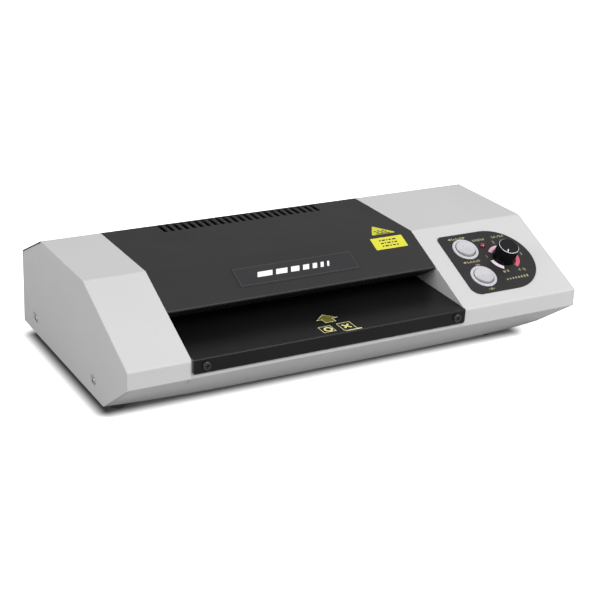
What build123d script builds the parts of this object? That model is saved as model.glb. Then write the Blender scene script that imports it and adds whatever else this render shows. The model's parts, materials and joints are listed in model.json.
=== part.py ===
from build123d import *
from math import atan2, cos, degrees, pi, radians, sin, tan
import os

os.makedirs("parts", exist_ok=True)

# ---------------------------------------------------------------- driving dimensions, mm
# +X to the right, the operator stands at -Y, the feet rest on Z = 0.
WIDTH = 400.0
DEPTH = 217.0
FOOT_HEIGHT = 5.0
SHEET = 1.2
GAP = 0.1
BEND = 2.0
SHARP_BEND = 1.3

HALF_W = WIDTH / 2
FRONT_Y = -DEPTH / 2
REAR_Y = DEPTH / 2
FLOOR_Z = FOOT_HEIGHT
TOP_Z = FLOOR_Z + 85.0
SHOULDER_Z = FLOOR_Z + 62.0
TOP_REAR_Y = REAR_Y - 44.5
TOP_FRONT_Y = REAR_Y - 134.0
BAND_TOP_Z = FLOOR_Z + 46.5
BAND_LOW_Z = FLOOR_Z + 32.3
CHAMFER_Y = REAR_Y - 173.0
# the under-chamfer's lower fold swells forward between the end plates
APRON_SWELL = 7.3

# the pouch opening lies between the two end covers
OPEN_LEFT = -150.0
OPEN_RIGHT = 88.0
OPEN_MID = (OPEN_LEFT + OPEN_RIGHT) / 2
OPEN_W = OPEN_RIGHT - OPEN_LEFT

# feed tray and pouch path
LIP_DISTANCE = 47.2
LIP_FLANGE_END = (-49.0, 59.8)
TRAY_FRONT_Z = 52.55
TRAY_REAR = (-29.0, 54.7)
TRAY_FLANGE_LOW_Z = FLOOR_Z + 35.7
EXIT_LOW_Z = 50.3
EXIT_HIGH_Z = 61.2

# roller box
NIP_Z = 55.5
ROLLER_PITCH = 25.0
ROLLER_R = 12.4
CORE_R = 8.0
JOURNAL_R = 4.0
FRONT_ROLLER_Y = -14.0
REAR_ROLLER_Y = 46.0
LOWER_AXIS_Z = NIP_Z - ROLLER_PITCH / 2
UPPER_AXIS_Z = NIP_Z + ROLLER_PITCH / 2
FRAME_T = 1.5
FRAME_IN_LEFT = OPEN_LEFT - 4.5
FRAME_IN_RIGHT = OPEN_RIGHT + 4.5
FRAME_TOP_Z = 84.5
SLEEVE_CLEAR = 2.0

# gear train
MODULE = 1.0
ROLLER_TEETH = 25
IDLER_TEETH = 35
PINION_TEETH = 15
GEAR_X = FRAME_IN_RIGHT + 4.0
GEAR_W = 8.0
PINION_ANGLE = -60.0
OUTPUT_R = 3.0
IDLER_Y = (FRONT_ROLLER_Y + REAR_ROLLER_Y) / 2
PINION_REACH = MODULE * (IDLER_TEETH + PINION_TEETH) / 2
PINION_Y = IDLER_Y + PINION_REACH * cos(radians(PINION_ANGLE))
PINION_Z = LOWER_AXIS_Z + PINION_REACH * sin(radians(PINION_ANGLE))
BRACKET_X = GEAR_X + GEAR_W + 3.5

# control panel, measured on the front slope: x across, distance up from the slope's front edge
PLAQUE_T = 0.8
PLAQUE_LEFT = 105.3
PLAQUE_CENTRE = (148.4, 45.3)
PLAQUE_R = 33.2
PLAQUE_TOP_CORNER = 4.0
PLAQUE_LOW_CORNER = 8.5
SWITCHES = {"mode_switch": (124.3, 60.8), "power_switch": (123.8, 29.5)}
LAMPS = {"power_lamp": (142.4, 62.0), "ready_lamp": (161.9, 62.4)}
KNOB_AT = (154.6, 46.2)
SWITCH_BODY_R = 10.0
BEZEL_R = 11.4
BEZEL_TOP = 1.7
ROCKER_R = 8.7
ROCKER_PIVOT_H = -0.3
ROCKER_TILT = 6.0
KNOB_R = 9.8
KNOB_TOP_R = 8.7
KNOB_BASE_H = 1.1
KNOB_TOP_H = 14.0
LAMP_R = 2.5
SHAFT_HOLE_R = 3.6

SLOPE_ANGLE = degrees(atan2(TOP_Z - BAND_TOP_Z, TOP_FRONT_Y - FRONT_Y))
UNDER_ANGLE = degrees(atan2(BAND_LOW_Z - FLOOR_Z, CHAMFER_Y - FRONT_Y))
REAR_ANGLE = degrees(atan2(TOP_Z - SHOULDER_Z, REAR_Y - TOP_REAR_Y))

# the front slope and the rear slope as work planes, X across and Y up the slope
SLOPE = Plane(
    origin=(0, FRONT_Y, BAND_TOP_Z),
    x_dir=(1, 0, 0),
    z_dir=(0, -sin(radians(SLOPE_ANGLE)), cos(radians(SLOPE_ANGLE))),
)
REAR_SLOPE = Plane(
    origin=(0, REAR_Y, SHOULDER_Z),
    x_dir=(-1, 0, 0),
    z_dir=(0, sin(radians(REAR_ANGLE)), cos(radians(REAR_ANGLE))),
)
LIP = (
    FRONT_Y + LIP_DISTANCE * cos(radians(SLOPE_ANGLE)),
    BAND_TOP_Z + LIP_DISTANCE * sin(radians(SLOPE_ANGLE)),
)
UNDER_START = FRONT_Y + SHEET + GAP
UNDER_START_Z = BAND_LOW_Z - (SHEET + GAP) * tan(radians(UNDER_ANGLE))

ON_FLOOR = (Align.CENTER, Align.CENTER, Align.MIN)
written = []


def save(piece, name):
    """Label one finished piece and write its STEP file."""
    piece.label = name
    export_step(piece, f"parts/{name}.step")
    written.append(name)


def at_x(x):
    """A work plane facing +X, whose own X and Y are the row's Y and Z."""
    return Plane(origin=(x, 0, 0), x_dir=(0, 1, 0), z_dir=(1, 0, 0))


def on_slope(x, distance, height=0.0):
    """The front slope's plane, moved to a point across, up and above it."""
    return Plane(SLOPE.from_local_coords((x, distance, height)), SLOPE.x_dir, SLOPE.z_dir)


def screw(head_r, head_h, shank_r, shank_l):
    """A domed cross-head screw standing on its seat, shank downwards."""
    with BuildPart() as one:
        Cylinder(head_r, head_h, align=ON_FLOOR)
        fillet(one.edges().group_by(Axis.Z)[-1], head_h * 0.6)
        with BuildSketch(Plane.XY.offset(head_h)):
            Rectangle(head_r * 1.1, head_r * 0.28)
            Rectangle(head_r * 0.28, head_r * 1.1)
        extrude(amount=-head_h * 0.55, mode=Mode.SUBTRACT)
        Cylinder(shank_r, shank_l, align=(Align.CENTER, Align.CENTER, Align.MAX))
    return one.part


def group(piece, planes):
    """Copies of one piece, one on each plane, as separate solids in one node."""
    with BuildPart() as copies:
        with Locations(*planes):
            add(piece)
    return copies.part


M3_SHANK_R = 1.45
M3_HOLE_R = 1.5
M3_CLEAR_R = 1.7

# ---------------------------------------------------------------- base pan
FLAP_X = HALF_W - SHEET - 1.6
SIDE_SCREWS = [(REAR_Y - 27.0, FLOOR_Z + 12.0), (REAR_Y - 152.0, FLOOR_Z + 11.6)]
TRAY_SCREW_X = (-139.0, 79.7)
TRAY_SCREW_Z = FLOOR_Z + 41.7
FEET = [(-186.0, -57.0), (-187.0, 65.5), (149.0, -57.0), (149.0, 65.5)]
INLET_AT = (160.0, 31.0)
INLET_BODY = (27.6, 20.6)
INLET_SCREW_PITCH = 40.0
FRAME_FOOT_Y = (-28.0, 66.0)
FRAME_FOOT = 12.0
FRAME_SCREW_X = (FRAME_IN_LEFT - FRAME_T - 7.0, FRAME_IN_RIGHT + FRAME_T + 7.0)

PAN_HALF_W = HALF_W - 2.6
PAN_STATIONS = [PAN_HALF_W * step / 4 for step in range(-4, 5)]
OVER = 1.02
CLEAR = 20.0
CUT = 4.0
TOUCH = 0.01
STRIP_TOP_Z = BAND_TOP_Z - 1.5
STRIP_LEG = 8.0
FLAP_SIZE = (150.0, 20.0)
REAR_SLOTS = 22
REAR_SLOT_PITCH = 9.0
REAR_SLOT_Z = 30.0
REAR_SLOT = (16.0, 3.0)
FLOOR_SLOTS = (16, 2)
FLOOR_SLOT_PITCH = (12.0, 34.0)
FLOOR_SLOT = (24.0, 3.0)


def fold_y(x):
    """Depth of the under-chamfer's lower fold."""
    return CHAMFER_Y - APRON_SWELL * (1 - (x / HALF_W) ** 4)


def apron_rise(x):
    """Angle of the under-chamfer from the floor, in radians."""
    return atan2(UNDER_START_Z - FLOOR_Z, fold_y(x) - UNDER_START)


def pan_outside(x):
    """The pan's outer outline in one cross-section, closed across its open top."""
    return [
        (UNDER_START, UNDER_START_Z),
        (fold_y(x), FLOOR_Z),
        (REAR_Y, FLOOR_Z),
        (REAR_Y, EXIT_HIGH_Z - GAP),
    ]


def pan_inside(x):
    """The pan's hollow in one cross-section, a sheet's thickness in and open above."""
    rise = apron_rise(x)
    return [
        (
            UNDER_START + SHEET * sin(rise) - CLEAR * cos(rise),
            UNDER_START_Z + SHEET * cos(rise) + CLEAR * sin(rise),
        ),
        (fold_y(x) + SHEET * tan(rise / 2), FLOOR_Z + SHEET),
        (REAR_Y - SHEET, FLOOR_Z + SHEET),
        (REAR_Y - SHEET, EXIT_HIGH_Z + CLEAR),
    ]


with BuildPart() as base_pan:
    for x in PAN_STATIONS:
        with BuildSketch(at_x(x)):
            Polygon(*pan_outside(x), align=None)
    loft()
    for x in PAN_STATIONS:
        with BuildSketch(at_x(OVER * x)):
            Polygon(*pan_inside(OVER * x), align=None)
    loft(mode=Mode.SUBTRACT)
    for fold_z, bend in ((FLOOR_Z, BEND + SHEET), (FLOOR_Z + SHEET, BEND)):
        folds = base_pan.edges().filter_by_position(Axis.Z, fold_z - TOUCH, fold_z + TOUCH)
        fillet(folds.sort_by(Axis.Y)[0], bend)
    # front strip behind the tray flange, only across the opening
    with BuildSketch(at_x(OPEN_LEFT + GAP)):
        with BuildLine():
            FilletPolyline(
                (FRONT_Y, STRIP_TOP_Z),
                (FRONT_Y, BAND_LOW_Z),
                (FRONT_Y + STRIP_LEG, BAND_LOW_Z - STRIP_LEG * tan(apron_rise(0))),
                radius=BEND,
            )
            offset(amount=SHEET, side=Side.LEFT)
        make_face()
    extrude(amount=OPEN_W - 2 * GAP)
    # upright flaps that the side screws hold
    for side in (-1, 1):
        with BuildSketch(at_x(side * FLAP_X - (SHEET if side > 0 else 0))):
            with Locations(((SIDE_SCREWS[0][0] + SIDE_SCREWS[1][0]) / 2, FLOOR_Z + SHEET / 2)):
                Rectangle(*FLAP_SIZE, align=(Align.CENTER, Align.MIN))
        extrude(amount=SHEET)
        with BuildSketch(at_x(side * FLAP_X)):
            with Locations(*SIDE_SCREWS):
                Circle(M3_HOLE_R)
        extrude(amount=CUT, both=True, mode=Mode.SUBTRACT)
    # exit notch, closed from above by the rear cover
    with BuildSketch(Plane.XZ.offset(-REAR_Y - 1)):
        with Locations((OPEN_MID, EXIT_LOW_Z)):
            Rectangle(OPEN_W, CLEAR, align=(Align.CENTER, Align.MIN))
    extrude(amount=CUT, mode=Mode.SUBTRACT)
    # power inlet hole with its two screw holes, and the air slots beside it
    with BuildSketch(Plane.XZ.offset(-REAR_Y - 1)):
        with Locations(INLET_AT):
            Rectangle(*INLET_BODY)
            with GridLocations(INLET_SCREW_PITCH, 0, 2, 1):
                Circle(M3_HOLE_R)
        with Locations((OPEN_MID, REAR_SLOT_Z)):
            with GridLocations(REAR_SLOT_PITCH, 0, REAR_SLOTS, 1):
                SlotOverall(*REAR_SLOT, rotation=90)
    extrude(amount=CUT, mode=Mode.SUBTRACT)
    # tray screw holes
    with BuildSketch(Plane.XZ.offset(-FRONT_Y + 1)):
        with Locations(*[(x, TRAY_SCREW_Z) for x in TRAY_SCREW_X]):
            Circle(M3_HOLE_R)
    extrude(amount=-CUT, mode=Mode.SUBTRACT)
    # floor: air slots under the heaters, foot and frame screw holes
    with BuildSketch(Plane.XY.offset(FLOOR_Z - 1)):
        with Locations((OPEN_MID, IDLER_Y)):
            with GridLocations(*FLOOR_SLOT_PITCH, *FLOOR_SLOTS):
                SlotOverall(*FLOOR_SLOT, rotation=90)
        with Locations(*FEET):
            Circle(M3_HOLE_R)
        with Locations(*[(x, y) for x in FRAME_SCREW_X for y in FRAME_FOOT_Y]):
            Circle(M3_HOLE_R)
    extrude(amount=CUT, mode=Mode.SUBTRACT)
save(base_pan.part, "base_pan")

# ---------------------------------------------------------------- end covers
MOUTH_WALL_REAR_Y = -38.0
MOUTH_WALL_LOW_Z = 44.0
DIMPLE_R = 5.6
DIMPLE_FLOOR_R = 3.6
DIMPLE_DEPTH = 1.7
DIMPLE_TAPER = degrees(atan2(DIMPLE_R - DIMPLE_FLOOR_R, DIMPLE_DEPTH))
HEM_W = 2.0
HEM_RISE = radians(UNDER_ANGLE)
TONGUE_L = 30.0
REAR_SCREW_UP = 25.0
REAR_SCREW_INSET = 12.0
PLATE_BEND = 0.9

CASE_OUTLINE = [
    (REAR_Y, FLOOR_Z),
    (REAR_Y, SHOULDER_Z),
    (TOP_REAR_Y, TOP_Z),
    (TOP_FRONT_Y, TOP_Z),
    (FRONT_Y, BAND_TOP_Z),
    (FRONT_Y, BAND_LOW_Z),
    (CHAMFER_Y, FLOOR_Z),
]
SLOPE_DROP = SHEET / cos(radians(SLOPE_ANGLE))
SLOPE_RISE = tan(radians(SLOPE_ANGLE))
REAR_DROP = SHEET / cos(radians(REAR_ANGLE))
REAR_RISE = tan(radians(REAR_ANGLE))
# inner side of the band, slope and top; open below and behind
CASE_HOLLOW = [
    (FRONT_Y + SHEET, FLOOR_Z - CLEAR),
    (FRONT_Y + SHEET, BAND_TOP_Z + SHEET * SLOPE_RISE - SLOPE_DROP),
    (TOP_FRONT_Y + (SLOPE_DROP - SHEET) / SLOPE_RISE, TOP_Z - SHEET),
    (REAR_Y + CLEAR, TOP_Z - SHEET),
    (REAR_Y + CLEAR, FLOOR_Z - CLEAR),
]


def slope_z(y):
    """Height of the slope's outer surface at a depth."""
    return BAND_TOP_Z + (y - FRONT_Y) * SLOPE_RISE


def end_cover(outer_x, inner_x):
    """A folded sheet end cover, from its outer end plate to the opening."""
    side = 1 if outer_x > inner_x else -1
    length = abs(outer_x - inner_x)
    with BuildPart() as cover:
        with BuildSketch(at_x(min(outer_x, inner_x))):
            Polygon(*CASE_OUTLINE, align=None)
        extrude(amount=length)
        folds = cover.edges().filter_by(Axis.X)
        shoulder = folds.filter_by_position(Axis.Z, BAND_LOW_Z + 1, TOP_Z).filter_by_position(
            Axis.Y, FRONT_Y - 1, TOP_REAR_Y - 1
        )
        fillet(shoulder, BEND)
        outer_face = cover.faces().sort_by(Axis.X)[-1 if side > 0 else 0]
        fillet(outer_face.edges().filter_by_position(Axis.Z, BAND_LOW_Z + 1, TOP_Z), PLATE_BEND)
        with BuildSketch(at_x(outer_x - side * SHEET)):
            Polygon(*CASE_HOLLOW, align=None)
        extrude(amount=-side * length, mode=Mode.SUBTRACT)
        # hem of the end plate along the under-chamfer
        with BuildSketch(at_x(outer_x)):
            Polygon(
                (FRONT_Y, BAND_LOW_Z),
                (CHAMFER_Y, FLOOR_Z),
                (CHAMFER_Y + SHEET * sin(HEM_RISE), FLOOR_Z + SHEET * cos(HEM_RISE)),
                (FRONT_Y + SHEET * sin(HEM_RISE), BAND_LOW_Z + SHEET * cos(HEM_RISE)),
                align=None,
            )
        extrude(amount=-side * HEM_W)
        # room for the rear cover, which lies flush on the rear slope
        with BuildSketch(at_x(-HALF_W - 1)):
            Polygon(
                (TOP_REAR_Y - GAP, TOP_Z + CLEAR),
                (TOP_REAR_Y - GAP, TOP_Z - REAR_DROP - GAP),
                (REAR_Y - SHEET - GAP, SHOULDER_Z + (SHEET + GAP) * REAR_RISE - REAR_DROP - GAP),
                (REAR_Y - SHEET - GAP, EXIT_HIGH_Z - GAP),
                (REAR_Y + CLEAR, EXIT_HIGH_Z - GAP),
                (REAR_Y + CLEAR, TOP_Z + CLEAR),
                align=None,
            )
        extrude(amount=WIDTH + 2, mode=Mode.SUBTRACT)
        # tongue under the rear slope that the rear cover screws into
        with BuildSketch(REAR_SLOPE.offset(-SHEET - 3 * GAP)):
            with Locations((-(outer_x + inner_x) / 2, REAR_SCREW_UP)):
                Rectangle(length - SHEET, TONGUE_L)
            with Locations((-(outer_x - side * REAR_SCREW_INSET), REAR_SCREW_UP)):
                Circle(M3_HOLE_R, mode=Mode.SUBTRACT)
        extrude(amount=-SHEET)
        # inner wall beside the mouth
        with BuildSketch(at_x(inner_x)):
            Polygon(
                (FRONT_Y + SHEET / 2, MOUTH_WALL_LOW_Z),
                (FRONT_Y + SHEET / 2, slope_z(FRONT_Y + SHEET / 2) - SLOPE_DROP / 2),
                (MOUTH_WALL_REAR_Y, slope_z(MOUTH_WALL_REAR_Y) - SLOPE_DROP / 2),
                (MOUTH_WALL_REAR_Y, MOUTH_WALL_LOW_Z),
                align=None,
            )
        extrude(amount=side * SHEET)
        # dimples for the side screws
        with BuildSketch(at_x(outer_x - side * SHEET)):
            with Locations(*SIDE_SCREWS):
                Circle(DIMPLE_R + SHEET)
        extrude(amount=-side * (DIMPLE_DEPTH - GAP))
        with BuildSketch(at_x(outer_x)):
            with Locations(*SIDE_SCREWS):
                Circle(DIMPLE_R)
        extrude(amount=-side * DIMPLE_DEPTH, taper=DIMPLE_TAPER, mode=Mode.SUBTRACT)
        with BuildSketch(at_x(outer_x)):
            with Locations(*SIDE_SCREWS):
                Circle(M3_CLEAR_R)
        extrude(amount=-side * CUT, mode=Mode.SUBTRACT)
    return cover.part


save(end_cover(-HALF_W, OPEN_LEFT), "left_end_cover")

right_shell = end_cover(HALF_W, OPEN_RIGHT)
with BuildPart() as right_end_cover:
    add(right_shell)
    with BuildSketch(SLOPE.offset(1)):
        with Locations(*SWITCHES.values()):
            Circle(SWITCH_BODY_R + GAP)
        with Locations(*LAMPS.values()):
            Circle(LAMP_R + GAP)
        with Locations(KNOB_AT):
            Circle(SHAFT_HOLE_R)
    extrude(amount=-CUT, mode=Mode.SUBTRACT)
save(right_end_cover.part, "right_end_cover")

# ---------------------------------------------------------------- centre cover, rear cover
VENTS = 23
VENT_PITCH = 6.445
VENT_MID_X = -29.1
VENT_SIZE = (3.7, 16.7)
VENT_CORNER = 1.2
VENT_GAP = 0.7

with BuildPart() as centre_cover:
    with BuildSketch(at_x(OPEN_LEFT + GAP)):
        with BuildLine():
            FilletPolyline(
                (TOP_REAR_Y - GAP, TOP_Z),
                (TOP_FRONT_Y, TOP_Z),
                LIP,
                LIP_FLANGE_END,
                radius=SHARP_BEND,
            )
            offset(amount=SHEET, side=Side.LEFT)
        make_face()
    extrude(amount=OPEN_W - 2 * GAP)
    with BuildSketch(Plane.XY.offset(TOP_Z + 1)):
        with Locations((VENT_MID_X, TOP_REAR_Y - VENT_GAP - VENT_SIZE[1] / 2)):
            with GridLocations(VENT_PITCH, 0, VENTS, 1):
                RectangleRounded(*VENT_SIZE, VENT_CORNER)
    extrude(amount=-CUT, mode=Mode.SUBTRACT)
save(centre_cover.part, "centre_cover")

REAR_SCREWS = [(side * (HALF_W - REAR_SCREW_INSET), REAR_SCREW_UP) for side in (1, -1)]
EXIT_HEM = 12.0
EXIT_HEM_RISE = 2.0
with BuildPart() as rear_cover:
    with BuildSketch(at_x(-HALF_W)):
        Polygon(
            (TOP_REAR_Y, TOP_Z),
            (REAR_Y, SHOULDER_Z),
            (REAR_Y, EXIT_HIGH_Z),
            (REAR_Y - SHEET, EXIT_HIGH_Z),
            (REAR_Y - SHEET, SHOULDER_Z + SHEET * REAR_RISE - REAR_DROP),
            (TOP_REAR_Y, TOP_Z - REAR_DROP),
            align=None,
        )
    extrude(amount=WIDTH)
    shoulder_fold = rear_cover.edges().filter_by_position(Axis.Z, SHOULDER_Z - TOUCH, SHOULDER_Z + TOUCH)
    fillet(shoulder_fold.filter_by(Axis.X), BEND)
    # hem turned in over the exit
    with BuildSketch(at_x(OPEN_LEFT + 1)):
        Polygon(
            (REAR_Y - SHEET / 2, EXIT_HIGH_Z),
            (REAR_Y - SHEET / 2, EXIT_HIGH_Z + SHEET),
            (REAR_Y - EXIT_HEM, EXIT_HIGH_Z + SHEET + EXIT_HEM_RISE),
            (REAR_Y - EXIT_HEM, EXIT_HIGH_Z + EXIT_HEM_RISE),
            align=None,
        )
    extrude(amount=OPEN_W - 2)
    with BuildSketch(REAR_SLOPE.offset(1)):
        with Locations(*REAR_SCREWS):
            Circle(M3_CLEAR_R)
    extrude(amount=-CUT, mode=Mode.SUBTRACT)
save(rear_cover.part, "rear_cover")

# ---------------------------------------------------------------- feed tray
TRAY_FRONT_Y = FRONT_Y - SHEET - GAP / 2
TRAY_CORNER = 2.5
with BuildPart() as feed_tray:
    with BuildSketch(at_x(OPEN_LEFT + GAP)):
        with BuildLine():
            FilletPolyline(
                (TRAY_FRONT_Y, TRAY_FLANGE_LOW_Z),
                (TRAY_FRONT_Y, TRAY_FRONT_Z),
                TRAY_REAR,
                radius=SHARP_BEND,
            )
            offset(amount=SHEET, side=Side.RIGHT)
        make_face()
    extrude(amount=OPEN_W - 2 * GAP)
    corners = feed_tray.edges().filter_by(Axis.Y).group_by(Axis.Z)[0]
    fillet(corners, TRAY_CORNER)
    with BuildSketch(Plane.XZ.offset(-TRAY_FRONT_Y + 1)):
        with Locations(*[(x, TRAY_SCREW_Z) for x in TRAY_SCREW_X]):
            Circle(M3_CLEAR_R)
    extrude(amount=-CUT, mode=Mode.SUBTRACT)
save(feed_tray.part, "feed_tray")

# ---------------------------------------------------------------- screws and feet
SCREW_HEAD_R = 2.9
SCREW_HEAD_H = 1.5
SCREW_L = 6.0
COVER_SCREW_HEAD = (3.4, 2.0)
INLET_FLANGE = 2.8
INLET_REAR_Y = REAR_Y + GAP / 2 + INLET_FLANGE
FOOT_R = 6.5
FOOT_TAPER = 0.7
FOOT_RECESS = 2.6
FOOT_RECESS_R = 3.2
m3_screw = screw(SCREW_HEAD_R, SCREW_HEAD_H, M3_SHANK_R, SCREW_L)
cover_screw = screw(*COVER_SCREW_HEAD, M3_SHANK_R, SCREW_L)

black_seats = [Plane((x, TRAY_FRONT_Y, TRAY_SCREW_Z), (1, 0, 0), (0, -1, 0)) for x in TRAY_SCREW_X]
for x, up in REAR_SCREWS:
    seat = REAR_SLOPE.from_local_coords((x, up, 0))
    black_seats.append(Plane(seat, REAR_SLOPE.x_dir, REAR_SLOPE.z_dir))
save(group(cover_screw, black_seats), "black_screws")

steel_seats = []
for side in (-1, 1):
    for y, z in SIDE_SCREWS:
        steel_seats.append(Plane((side * (HALF_W - DIMPLE_DEPTH), y, z), (0, 1, 0), (side, 0, 0)))
    inlet_x = INLET_AT[0] + side * INLET_SCREW_PITCH / 2
    steel_seats.append(Plane((inlet_x, INLET_REAR_Y - SCREW_HEAD_H, INLET_AT[1]), (1, 0, 0), (0, 1, 0)))
for x, y in FEET:
    steel_seats.append(Plane((x, y, FOOT_RECESS), (1, 0, 0), (0, 0, -1)))
for x in FRAME_SCREW_X:
    for y in FRAME_FOOT_Y:
        steel_seats.append(Plane((x, y, FLOOR_Z + SHEET + FRAME_T)))
save(group(m3_screw, steel_seats), "steel_screws")

with BuildPart() as foot:
    Cone(FOOT_R - FOOT_TAPER, FOOT_R, FOOT_HEIGHT, align=ON_FLOOR)
    fillet(foot.edges().group_by(Axis.Z)[0], FOOT_TAPER)
    with BuildSketch():
        Circle(FOOT_RECESS_R)
    extrude(amount=FOOT_RECESS, mode=Mode.SUBTRACT)
    with BuildSketch():
        Circle(M3_HOLE_R)
    extrude(amount=FOOT_HEIGHT, mode=Mode.SUBTRACT)
save(group(foot.part, [Plane((x, y, 0)) for x, y in FEET]), "feet")

# ---------------------------------------------------------------- roller frames
BLOCK_HALF_W = 7.0
BLOCK_HALF_H = 7.0
SLOT_LOW_Z = UPPER_AXIS_Z - BLOCK_HALF_H - 0.05
BUSH_R = 6.0
STUD_R = 3.0
STUD_COLLAR = 2.0
POSTS = [(-8.0, 16.0), (50.0, 16.0), (IDLER_Y, 73.0)]
WIRE_HOLE = (IDLER_Y, 65.2)
WIRE_HOLE_R = 2.5
FRAME_FOOT_L = 110.0
FRAME_HEAD_L = 82.0
FRAME_OUTLINE = [
    (-38.0, FLOOR_Z + SHEET),
    (76.0, FLOOR_Z + SHEET),
    (76.0, 76.0),
    (66.0, FRAME_TOP_Z),
    (-24.0, FRAME_TOP_Z),
    (-38.0, 77.0),
]


def roller_frame(inner_x, side):
    """A folded side frame with bush holes, block slots and two flanges."""
    with BuildPart() as frame:
        with BuildSketch(at_x(inner_x)):
            Polygon(*FRAME_OUTLINE, align=None)
            with Locations((FRONT_ROLLER_Y, LOWER_AXIS_Z), (REAR_ROLLER_Y, LOWER_AXIS_Z)):
                Circle(BUSH_R, mode=Mode.SUBTRACT)
            with Locations((FRONT_ROLLER_Y, SLOT_LOW_Z), (REAR_ROLLER_Y, SLOT_LOW_Z)):
                Rectangle(
                    2 * BLOCK_HALF_W + 0.1,
                    FRAME_TOP_Z - FRAME_T - SLOT_LOW_Z,
                    align=(Align.CENTER, Align.MIN),
                    mode=Mode.SUBTRACT,
                )
        extrude(amount=side * FRAME_T)
        flange_x = inner_x + side * (FRAME_T + FRAME_FOOT) / 2
        with Locations((flange_x, (FRAME_FOOT_Y[0] + FRAME_FOOT_Y[1]) / 2, FLOOR_Z + SHEET)):
            Box(FRAME_T + FRAME_FOOT, FRAME_FOOT_L, FRAME_T, align=ON_FLOOR)
        with Locations((flange_x, IDLER_Y, FRAME_TOP_Z)):
            Box(FRAME_T + FRAME_FOOT, FRAME_HEAD_L, FRAME_T, align=(Align.CENTER, Align.CENTER, Align.MAX))
        screw_x = FRAME_SCREW_X[0] if side < 0 else FRAME_SCREW_X[1]
        with BuildSketch(Plane.XY.offset(FLOOR_Z)):
            with Locations(*[(screw_x, y) for y in FRAME_FOOT_Y]):
                Circle(M3_CLEAR_R)
        extrude(amount=CUT, mode=Mode.SUBTRACT)
    return frame.part


save(roller_frame(FRAME_IN_LEFT, -1), "left_frame")

plain_right = roller_frame(FRAME_IN_RIGHT, 1)
with BuildPart() as right_frame:
    add(plain_right)
    with BuildSketch(at_x(FRAME_IN_RIGHT)):
        with Locations((IDLER_Y, LOWER_AXIS_Z)):
            Circle(STUD_R)
        with Locations(WIRE_HOLE):
            Circle(WIRE_HOLE_R)
    extrude(amount=FRAME_T, mode=Mode.SUBTRACT)
save(right_frame.part, "right_frame")

# bars that tie the frames together and carry the tray and the exit guide
BAR_SIZE = (8.0, 5.0)
BAR_CORNER = 1.0
BAR_TOPS = [(-33.0, 53.2), (68.0, 51.6), (IDLER_Y, 82.0)]
with BuildPart() as cross_bars:
    with BuildSketch(at_x(FRAME_IN_LEFT)):
        with Locations(*BAR_TOPS):
            RectangleRounded(*BAR_SIZE, BAR_CORNER, align=(Align.CENTER, Align.MAX))
    extrude(amount=FRAME_IN_RIGHT - FRAME_IN_LEFT)
save(cross_bars.part, "cross_bars")

# ---------------------------------------------------------------- bearings and springs
BUSH_FLANGE = 1.2
BUSH_L = 4.2
BUSH_RIM = 2.0
RUNNING = 0.05
SEATED = 0.02
MIRROR_X = Plane.YZ.offset((FRAME_IN_LEFT + FRAME_IN_RIGHT) / 2)
ROLLER_YS = {"front": FRONT_ROLLER_Y, "rear": REAR_ROLLER_Y}

with BuildPart() as lower_bushes:
    for y in ROLLER_YS.values():
        with BuildSketch(at_x(FRAME_IN_RIGHT - BUSH_FLANGE)):
            with Locations((y, LOWER_AXIS_Z)):
                Circle(BUSH_R + BUSH_RIM)
        extrude(amount=BUSH_FLANGE)
        with BuildSketch(at_x(FRAME_IN_RIGHT)):
            with Locations((y, LOWER_AXIS_Z)):
                Circle(BUSH_R - SEATED)
        extrude(amount=BUSH_L - BUSH_FLANGE)
        with BuildSketch(at_x(FRAME_IN_RIGHT - BUSH_FLANGE)):
            with Locations((y, LOWER_AXIS_Z)):
                Circle(JOURNAL_R + RUNNING)
        extrude(amount=BUSH_L, mode=Mode.SUBTRACT)
    mirror(about=MIRROR_X)
save(lower_bushes.part, "lower_bushes")

BLOCK_IN = 1.3
BLOCK_OUT = 1.6
BLOCK_L = BLOCK_IN + FRAME_T + BLOCK_OUT
BLOCK_CHEEK = 2.0
SPRING_R = 2.1
SPRING_WIRE = 0.8
SPRING_TURNS = 4
SPRING_SEAT_Z = UPPER_AXIS_Z + BLOCK_HALF_H
SPRING_SPACE = FRAME_TOP_Z - FRAME_T - SPRING_SEAT_Z
SPRING_RISE = SPRING_SPACE - SPRING_WIRE - 2 * RUNNING

for name, y in ROLLER_YS.items():
    with BuildPart() as blocks:
        with BuildSketch(at_x(FRAME_IN_RIGHT - BLOCK_IN)):
            with Locations((y, UPPER_AXIS_Z)):
                Rectangle(2 * (BLOCK_HALF_W + BLOCK_CHEEK), 2 * BLOCK_HALF_H)
                Circle(JOURNAL_R + RUNNING, mode=Mode.SUBTRACT)
        extrude(amount=BLOCK_L)
        # grooves that ride on the edges of the frame's slot
        with BuildSketch(at_x(FRAME_IN_RIGHT - RUNNING)):
            with Locations((y, UPPER_AXIS_Z)):
                Rectangle(2 * BLOCK_HALF_W + CLEAR, 2 * BLOCK_HALF_H + CUT)
                Rectangle(2 * BLOCK_HALF_W, 2 * BLOCK_HALF_H + CUT, mode=Mode.SUBTRACT)
        extrude(amount=FRAME_T + 2 * RUNNING, mode=Mode.SUBTRACT)
        mirror(about=MIRROR_X)
    save(blocks.part, f"{name}_upper_blocks")

    spring_x = FRAME_IN_RIGHT + FRAME_T / 2
    spring_base = Plane((spring_x, y, SPRING_SEAT_Z + SPRING_WIRE / 2 + RUNNING))
    with BuildPart() as springs:
        with BuildLine(spring_base):
            coil = Helix(pitch=SPRING_RISE / SPRING_TURNS, height=SPRING_RISE, radius=SPRING_R)
        with BuildSketch(Plane(coil @ 0, z_dir=coil % 0)):
            Circle(SPRING_WIRE / 2)
        sweep(is_frenet=True)
        mirror(about=MIRROR_X)
    save(springs.part, f"{name}_pressure_springs")

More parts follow.
